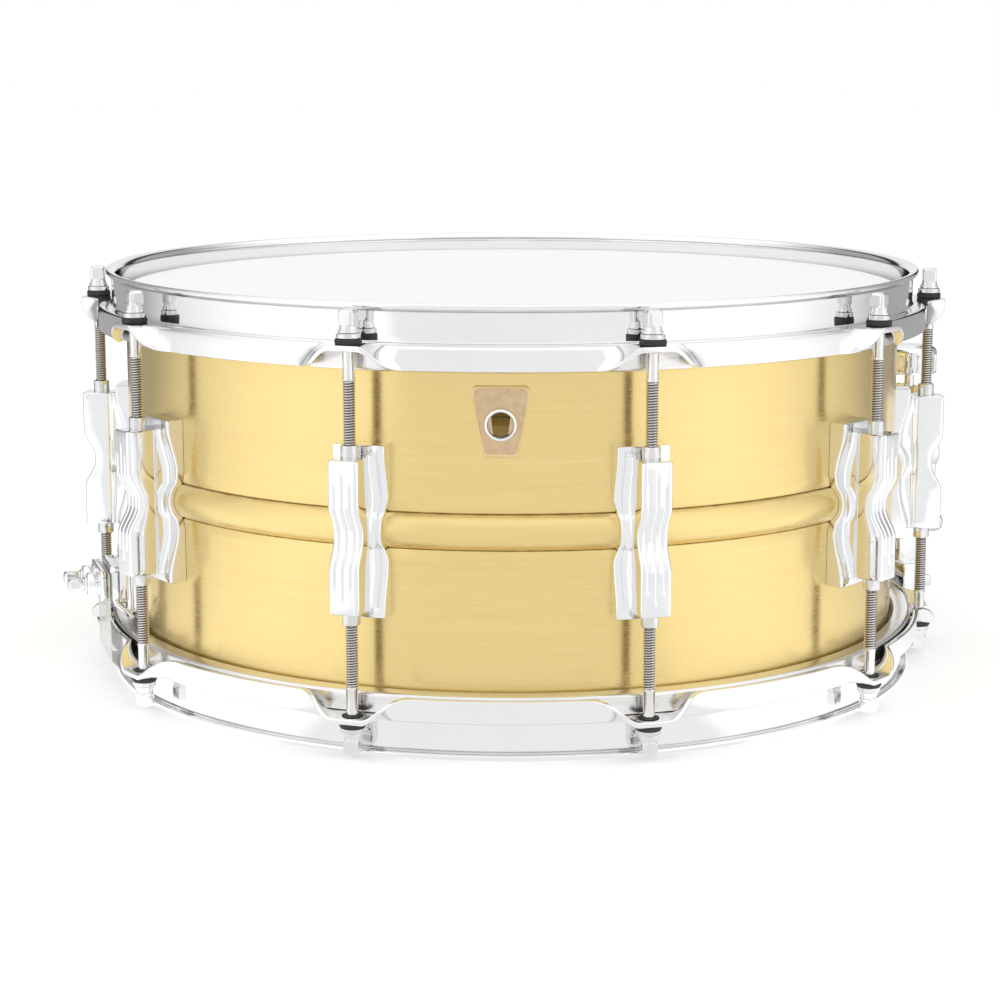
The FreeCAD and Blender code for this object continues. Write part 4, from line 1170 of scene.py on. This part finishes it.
def make_strainer_base():
    parts = Parts()
    for span_r, half_y, span_up, corner, steps, rim in ((HOUSING_R, HOUSING_HALF, HOUSING_UP, 2.5, 6, 0.9),
                                                       (RAIL_R, RAIL_HALF, RAIL_UP, 0.5, 3, 0.5)):
        outline = rounded_rectangle((span_r[1] - span_r[0]) / 2, half_y, corner, steps, (sum(span_r) / 2, 0))
        parts.loft(soft_prism(outline, MID + span_up[0], MID + span_up[1], rim))
    parts.loft(plate_on_shell(box_outline(16.0, -33.0, 24.0, 4.0, 7), 184.5, 1.6))
    for y in (-HOUSING_HALF, HOUSING_HALF):
        for up in (-19.0, 13.0):
            rib = rounded_rectangle(9.2, 0.35, 0.3, 3, (196.5, y))
            parts.loft(soft_prism(rib, MID + up - 1.0, MID + up + 1.0, 0.3))
    cutters = Parts()
    channel = soft_prism(rounded_rectangle(6.0, 6.3, 0.8, 4, (SCREW_R, 0)), MID + HOUSING_UP[0] - 1.5,
                         MID + HOUSING_UP[1] + 1.5, SHARP_RIM, 1)
    cutters.loft(channel)
    cutters.loft(turned_form([(5.1, 206.0), (5.1, 212.0)], 0, 0, PIVOT_UP))
    finish("strainer_base_casting", parts, CHROME, "drum", "strainer_base",
           cutters=cutters)


def make_strainer_lever():
    parts = Parts()
    low, high = LEVER_R
    hub = [(5.0, low), (8.3, low), (8.6, low + 0.3), (8.6, high - 1.9), (8.3, high - 0.9),
           (7.4, high - 0.25), (6.4, high), (5.6, high), (5.3, high - 0.5), (4.9, high - 0.65),
           (2.2, high - 0.65), (0.4, high - 0.5)]
    parts.loft(turned_form(hub, 0, 0, PIVOT_UP, count=48))
    rows = []
    for share in np.linspace(0, 1, 14):
        up = PIVOT_UP - 1.0 - LEVER_ARM * share
        half = 6.4 - 2.2 * float(smooth(share))
        crest = high - 0.6
        side = [(low + 1.0, -half + 0.5), (low + 1.4, -half), (crest - 1.6, -half),
                (crest - 0.7, -half + 0.45), (crest - 0.25, -half + 1.3), (crest, -half * 0.4)]
        ring = side + [(crest + 0.25, 0)] + [(r, -y) for r, y in reversed(side)]
        rows.append([(r, y, MID + up) for r, y in ring])
    parts.loft(rows)
    tip = [(3.6, low + 1.0), (4.5, low + 1.1), (4.8, low + 1.6), (4.8, 218.4), (4.55, 219.7), (3.9, 220.9),
           (2.7, 221.7), (1.3, 221.95), (0.2, 222.0)]
    parts.loft(turned_form(tip, 0, 0, PIVOT_UP - 1.0 - LEVER_ARM, count=40))
    parts.loft(turned_form([(4.7, 207.9), (5.0, 208.2), (5.0, low + 0.6)], 0, 0, PIVOT_UP))
    parts.loft(turned_form([(1.0, 205.3), (1.3, 205.6), (1.3, 208.4)], 0, 0, PIVOT_UP + 3.5))
    finish("strainer_lever_arm", parts, CHROME, "strainer_lever", "strainer_lever")


def make_strainer_slide():
    parts = Parts()
    profile = rounded_rectangle(5.5, 6.0, 0.8, 4, (202.1, 0))
    parts.loft(soft_prism(profile, MID - 22.0, MID + 12.0, 0.5))
    cutters = Parts()
    slot = box_outline(5.4, -4.9, -0.1, 2.3, 6)
    cutters.loft(bar(slot, 205.0, 209.0, SHARP_RIM))
    cutters.loft(turned_form([(CHANNEL_BORE_R, -24.0), (CHANNEL_BORE_R, 14.0)], SCREW_R, 0, 0, "z"))
    both = Parts().take(cut(parts.mesh("slide_block"), cutters))
    sleeve = [(4.7, 11.0), (5.0, 11.4), (5.0, 14.8), (4.7, 15.0), (4.7, 15.6), (5.0, 15.8), (5.0, 21.5),
              (4.6, 22.0)]
    both.add(*bored_ring(sleeve, CHANNEL_BORE_R, SCREW_R, 0, 0))
    finish("strainer_slide_block", both, CHROME, "strainer_slide", "strainer_slide")


def hexagon(across, count=48):
    a = np.arange(count) * TAU / count
    folded = (a + math.pi / 6) % (math.pi / 3) - math.pi / 6
    r = across / 2 / np.cos(folded)
    return np.stack([r * np.cos(a), r * np.sin(a)], 1)


def make_strainer_nut():
    rows = []
    across, low, high = 9.0, 22.0, 26.5
    for up, limit in ((low, 4.45), (low + 0.4, 5.4), (high - 0.4, 5.4), (high, 4.45)):
        ring = hexagon(across)
        span = np.linalg.norm(ring, axis=1)[:, None]
        rows.append(np.column_stack([ring * np.minimum(1, limit / span), np.full(len(ring), up)]))
    rows += list(revolve([(3.0, high), (2.45, high - 0.5), (2.45, low + 0.5), (3.0, low)], 48))
    points = np.array(rows).reshape(-1, 3) + np.array([SCREW_R, 0, MID])
    parts = Parts().add(points, grid_faces(len(rows), 48, True, True))
    finish("strainer_hex_nut", parts, NUT_BRASS, "strainer_slide", "strainer_nut", angle=25.0)


def make_adjust_screw():
    foot = revolve([(1.5, -58.8), (2.1, -58.3)], THREAD_COUNT)
    shank = revolve([(2.3, 22.2), (2.3, 40.6), (2.0, 41.0)], THREAD_COUNT)
    thread = threaded(-58.0, 22.0, 2.3, 0.5, 0.9, 0.8)
    parts = Parts().loft(np.array([*foot, *thread, *shank]) + np.array([SCREW_R, 0, MID]))
    collar = [(2.0, -25.3), (3.0, -25.3), (3.2, -25.1), (3.2, -22.4), (3.0, -22.2), (2.0, -22.2)]
    parts.loft(turned_form(collar, SCREW_R, 0, 0, "z"))
    finish("strainer_adjust_rod", parts, ADJUST_ROD, "strainer_knob", "strainer_adjust_screw")


def make_knob():
    low, high, radius, ribs = 33.0, 46.7, 13.0, 20
    count = ribs * 12
    a = np.arange(count) * TAU / count
    wave = np.abs(((a * ribs / TAU) % 1.0) * 2 - 1)
    groove = np.clip((0.62 - wave) / 0.62, 0, 1)
    groove = 1.7 * np.sqrt(np.clip(1 - (1 - groove) ** 2, 0, 1))
    rows = []
    steps = [(2.5, low + 0.9, 0), (9.5, low + 0.7, 0), (11.4, low + 0.15, 0), (12.0, low, 0),
             (12.6, low + 0.15, 0), (radius, low + 0.7, 0), (radius, low + 1.3, 0), (radius, low + 1.5, 0.35),
             (radius, low + 2.0, 1), (radius, high - 5.2, 1), (radius, high - 4.6, 0.5),
             (radius, high - 4.2, 0), (radius, high - 3.4, 0), (12.8, high - 2.7, 0), (12.2, high - 1.8, 0),
             (11.0, high - 1.0, 0), (9.2, high - 0.5, 0), (8.4, high - 0.45, 0), (8.1, high - 0.2, 0),
             (6.0, high - 0.05, 0), (2.4, high, 0), (0.2, high, 0)]
    for r, up, share in steps:
        span = r - groove * share
        rows.append(np.stack([span * np.cos(a), span * np.sin(a), np.full(count, up)], 1))
    parts = Parts().loft(np.array(rows) + np.array([SCREW_R, 0, MID]))
    finish("strainer_knob_fluted", parts, CHROME, "strainer_knob", "strainer_knob")


def make_snare_clamp():
    parts = Parts()
    parts.loft(soft_prism(rounded_rectangle(5.7, 6.0, 1.0, 4, (SCREW_R, 0)), MID - 60.0, MID - 34.0, 0.5))
    parts.loft(bar(box_outline(JAW_HALF, -76.0, -58.0, 3.0, 6), 192.6, 199.4, 0.8))
    cutters = Parts()
    rail_slot = rounded_rectangle(3.0, 2.75, 0.3, 3, (196.2, 0))
    cutters.loft(soft_prism(rail_slot, MID - 58.0, MID - 33.0, SHARP_RIM, 1))
    cutters.loft(turned_form([(CHANNEL_BORE_R, -63.5), (CHANNEL_BORE_R, -32.0)], SCREW_R, 0, 0, "z"))
    for y in (-CLAMP_Y, CLAMP_Y):
        cutters.loft(turned_form([(2.1, 193.5), (2.1, 201.0)], 0, y, CLAMP_UP))
    finish("strainer_carriage_jaw", parts, CHROME, "snare_clamp", "strainer_carriage",
           cutters=cutters)

    parts = Parts().loft(bar(box_outline(JAW_HALF, -76.0, -60.6, 3.0, 6), 201.0, 203.4, 0.6))
    cutters = Parts()
    for y in (-CLAMP_Y, CLAMP_Y):
        cutters.loft(turned_form([(2.1, 200.0), (2.1, 204.5)], 0, y, CLAMP_UP))
    finish("strainer_clamp_bar", parts, CHROME, "snare_clamp", "strainer_clamp_plate",
           cutters=cutters)

    parts = Parts()
    for y in (-CLAMP_Y, CLAMP_Y):
        clamp_screw(parts, 203.45, 210.6, 194.0, y, CLAMP_UP)
    finish("strainer_clamp_key_screws", parts, ROD_CHROME, "snare_clamp", "strainer_clamp_screws")


STRAP_UP = -84.475
STRAP_HALF = 20.0
STRAP_THICK = 0.45
STRANDS = 20
STRAND_PITCH = 2.05
STRAND_UP = -(EDGE_UP + 0.05 + FILM + 0.1 + 0.9)


def make_snare_wires():
    """Coils wound from round wire, one spring for each strand."""
    wire, coil, pitch, per_turn, sides, end = 0.25, 0.65, 2.0, 9, 4, 152.7
    turns = 2 * end / pitch
    count = int(turns * per_turn)
    a = np.arange(count + 1) * TAU / per_turn
    x = -end + np.arange(count + 1) * pitch / per_turn
    radial = np.stack([np.zeros_like(a), np.cos(a), np.sin(a)], 1)
    along = np.array([1.0, 0.0, 0.0])
    centre = np.stack([x, coil * np.cos(a), coil * np.sin(a)], 1)
    rows = []
    for j in range(sides):
        t = TAU * (j + 0.5) / sides
        rows.append(centre + wire * (math.cos(t) * radial + math.sin(t) * along))
    one = np.stack(rows, 1)
    parts = Parts()
    for index in range(STRANDS):
        y = (index - (STRANDS - 1) / 2) * STRAND_PITCH
        parts.loft(one + np.array([0, y, MID + STRAND_UP]))
    finish("snare_coils", parts, WIRE, "snare_unit", "snare_wires", angle=80.0)


def make_end_plates():
    parts = Parts()
    for turn in (0, HALF_TURN):
        one = Parts()
        outline = np.array(rounded_rectangle(9.5, 21.0, 3.0, 6, (156.5, 0)))
        one.loft(soft_prism(outline, MID - 84.2, MID - 83.4, 0.25))
        for index in range(STRANDS):
            y = (index - (STRANDS - 1) / 2) * STRAND_PITCH
            bead = [(0.5, -0.05), (0.72, 0.0), (0.6, 0.22), (0.3, 0.35), (0.05, 0.38)]
            one.loft(turned_form([(r * 1.1, up) for r, up in bead], 148.6, y, -83.42, "z", 12))
        parts.join(one.turned_by(turn))
    finish("snare_end_plates_stamped", parts, PLATE_BRASS, "snare_unit", "snare_end_plates")


def make_straps():
    parts = Parts()
    at_clamp = (CLAMP_Y, CLAMP_UP, 2.7, 4.4)
    at_butt = (BUTT_SCREW_Y, BUTT_SCREW_UP, 2.9, 2.9)
    for turn, middle, first, top, hole in ((0, 200.2, 190.0, -62.2, at_clamp),
                                           (HALF_TURN, 190.95, 185.8, -40.0, at_butt)):
        path = bend([(154.0, STRAP_UP), (first, STRAP_UP), (middle, -79.0), (middle, top)], 3.0)
        fine = []
        for a, b in zip(path, path[1:]):
            steps = max(1, int(np.linalg.norm(b - a) / 2.5))
            fine += [a + (b - a) * i / steps for i in range(steps)]
        fine.append(path[-1])
        strap = Parts().loft(sweep(fine, STRAP_HALF, STRAP_THICK / 2, 0.0, 0.2))
        cutters = Parts()
        screw_y, up, half_y, half_up = hole
        for y in (-screw_y, screw_y):
            ring = rounded_rectangle(half_y, half_up, half_y * 0.9, 6, (y, up))
            cutters.loft(bar(ring, middle - 2, middle + 2, SHARP_RIM))
        parts.join(Parts().take(cut(strap.mesh("strap"), cutters)).turned_by(turn))
    finish("snare_tapes", parts, STRAP, "snare_unit", "snare_straps")


def shell_screw_places():
    """Angle and height of every screw in the shell, and how far out its end reaches."""
    places = [(index * STEP - 90.0, up, 185.4) for index in range(LUGS) for up in (24.0, -24.0)]
    places += [(0.0, up, 191.0) for up in (-29.5, 16.5)]
    places += [(HALF_TURN, up, 182.4) for up in (-58.6, -33.4)]
    return places


def make_shell_screws():
    seat = SHELL_R - SHELL_WALL - 0.3 - 1.0
    screws, washers = Parts(), Parts()
    for angle, up, end in shell_screw_places():
        screw = Parts()
        head = [(0.9, seat - 2.7), (2.4, seat - 2.55), (3.4, seat - 2.1), (3.9, seat - 1.3),
                (4.0, seat - 0.5), (3.95, seat), (2.0, seat + 0.02)]
        screw.loft(turned_form(head, 0, 0, up))
        screw.loft(turned_form([(2.0, seat - 0.5), (2.0, end - 0.7), (1.5, end)], 0, 0, up, count=20))
        cross = rounded_rectangle(2.6, 0.35, 0.3, 2, (0.0, up))
        screw.loft(bar(cross, seat - 2.9, seat - 2.4, 0.1))
        screws.join(screw.turned_by(angle))
        washer = [(4.6, seat + 0.02), (4.95, seat + 0.15), (5.0, seat + 0.5), (4.95, seat + 0.85),
                  (4.6, seat + 0.98)]
        ring = Parts().add(*bored_ring(washer, 2.2, 0, 0, up, "x", 32))
        washers.join(ring.turned_by(angle))
    finish("shell_pan_screws", screws, ZINC, "drum", "shell_screws")
    finish("shell_screw_rings", washers, ZINC, "drum", "shell_screw_washers")


# ---------------------------------------------------------------- everything

make_shell()
make_head("batter_head_film", "batter_head", 1, COATED)
make_head("snare_head_film", "snare_head", -1, CLEAR)
make_head_collars()
make_flesh_ring("batter_flesh_ring", "batter_flesh_hoop", 1)
make_flesh_ring("snare_flesh_ring", "snare_flesh_hoop", -1)
make_hoop("batter_hoop_pressing", "batter_hoop", 1)
make_hoop("snare_hoop_pressing", "snare_hoop", -1)
make_rods()
make_rod_hardware()
make_lugs()
make_badge()
make_grommet()
make_butt()
make_strainer_base()
make_strainer_lever()
make_strainer_slide()
make_strainer_nut()
make_adjust_screw()
make_knob()
make_snare_clamp()
make_snare_wires()
make_end_plates()
make_straps()
make_shell_screws()


# ---------------------------------------------------------------- floor, light and camera

CAMERA_AZIMUTH = math.radians(-16.333)
CAMERA_ELEVATION = math.radians(10.652)
CAMERA_DISTANCE = 1.1425
CAMERA_AIM = Vector((-0.00566, 0.0, 0.07202))

# Brightness of the studio round the drum: (cosine of the angle from behind the camera, brightness)
STUDIO = (
    (-1.0, 0.90), (-0.975, 0.80), (-0.955, 0.04), (-0.915, 0.04), (-0.88, 0.42), (-0.52, 0.43),
    (-0.34, 0.70), (-0.17, 0.92), (0.0, 1.04), (0.20, 1.18), (0.40, 1.28), (0.60, 1.30),
    (0.84, 1.20), (0.87, 0.965), (1.0, 0.96),
)
CEILING = 1.2


def studio_light(m, x, y):
    """The studio's brightness in the direction (x, y) from the drum, as a colour socket."""
    toward = m.math("ADD", m.math("MULTIPLY", x, math.sin(CAMERA_AZIMUTH)),
                    m.math("MULTIPLY", y, -math.cos(CAMERA_AZIMUTH)))
    span = m.math("SQRT", m.math("ADD", m.math("MULTIPLY", x, x), m.math("MULTIPLY", y, y)))
    cosine = m.math("DIVIDE", toward, m.math("MAXIMUM", span, 0.0001))
    node = m.node("ShaderNodeValToRGB")
    ramp = node.color_ramp
    while len(ramp.elements) < len(STUDIO):
        ramp.elements.new(0.5)
    for element, (c, level) in zip(ramp.elements, STUDIO):
        element.position = (c + 1) / 2
        element.color = (level, level, level, 1.0)
    m.plug(m.math("MULTIPLY", m.math("ADD", cosine, 1.0), 0.5), node.inputs[0])
    return node.outputs[0]


def make_floor():
    """Pale and matt; mirrored in the metal it carries the same soft boxes and flags as the room."""
    rings = [0.0, 150, 250, 400, 700, 1200, 2200, 4000, 9000]
    count = 64
    rows = np.array([np.column_stack([circle(max(r, 0.5), count), np.full(count, 0.0)]) for r in rings])
    mesh = to_mesh("studio_floor", rows.reshape(-1, 3), grid_faces(len(rings), count))
    floor = bpy.data.objects.new("studio_floor", mesh)
    bpy.context.scene.collection.objects.link(floor)
    m = Nodes("floor_white")
    speck = m.noise(m.coords, 40.0, 4.0)
    m.set(Base_Color=m.blend(speck, (0.90, 0.90, 0.90), (0.93, 0.93, 0.93)))
    m.set(Roughness=m.spread(speck, 0.6, 0.8))
    m.set(Emission_Color=(1, 1, 1, 1), Emission_Strength=0.22)
    x, y = m.axes(m.coords)[:2]
    room = m.node("ShaderNodeEmission", {"Color": studio_light(m, x, y)})
    glossy = m.node("ShaderNodeLightPath").outputs["Is Glossy Ray"]
    choice = m.node("ShaderNodeMixShader", {0: glossy, 1: m.shader.outputs[0], 2: room.outputs[0]})
    output = next(n for n in m.tree.nodes if n.type == "OUTPUT_MATERIAL")
    m.plug(choice.outputs[0], output.inputs["Surface"])
    mesh.materials.append(m.material)


def make_world():
    """White to the camera. To everything else, a room with soft boxes at its sides and dark flags behind."""
    world = bpy.data.worlds.new("studio")
    bpy.context.scene.world = world
    world.use_nodes = True
    world.node_tree.nodes.clear()
    m = Nodes.__new__(Nodes)
    m.tree = world.node_tree
    x, y, z = m.axes(m.node("ShaderNodeTexCoord").outputs["Generated"])
    above = m.spread(z, 0.0, 1.0, 0.55, 0.75)
    light = m.blend(above, studio_light(m, x, y), (CEILING, CEILING, CEILING))
    room = m.node("ShaderNodeBackground", {"Color": light})
    white = m.node("ShaderNodeBackground", {"Color": (1, 1, 1, 1)})
    seen = m.node("ShaderNodeLightPath").outputs["Is Camera Ray"]
    choice = m.node("ShaderNodeMixShader", {0: seen, 1: room.outputs[0], 2: white.outputs[0]})
    m.node("ShaderNodeOutputWorld", {0: choice.outputs[0]})


def make_camera():
    level = math.cos(CAMERA_ELEVATION)
    x, y = math.sin(CAMERA_AZIMUTH) * level, -math.cos(CAMERA_AZIMUTH) * level
    back = Vector((x, y, math.sin(CAMERA_ELEVATION)))
    data = bpy.data.cameras.new("camera")
    data.lens = 87.88
    data.sensor_width = 36.0
    data.clip_start, data.clip_end = 0.01, 50.0
    camera = bpy.data.objects.new("camera", data)
    bpy.context.scene.collection.objects.link(camera)
    camera.location = CAMERA_AIM + back * CAMERA_DISTANCE
    camera.rotation_euler = (-back).to_track_quat("-Z", "Y").to_euler()
    bpy.context.scene.camera = camera


make_floor()
make_world()
make_camera()
bpy.context.scene.view_settings.view_transform = "Standard"
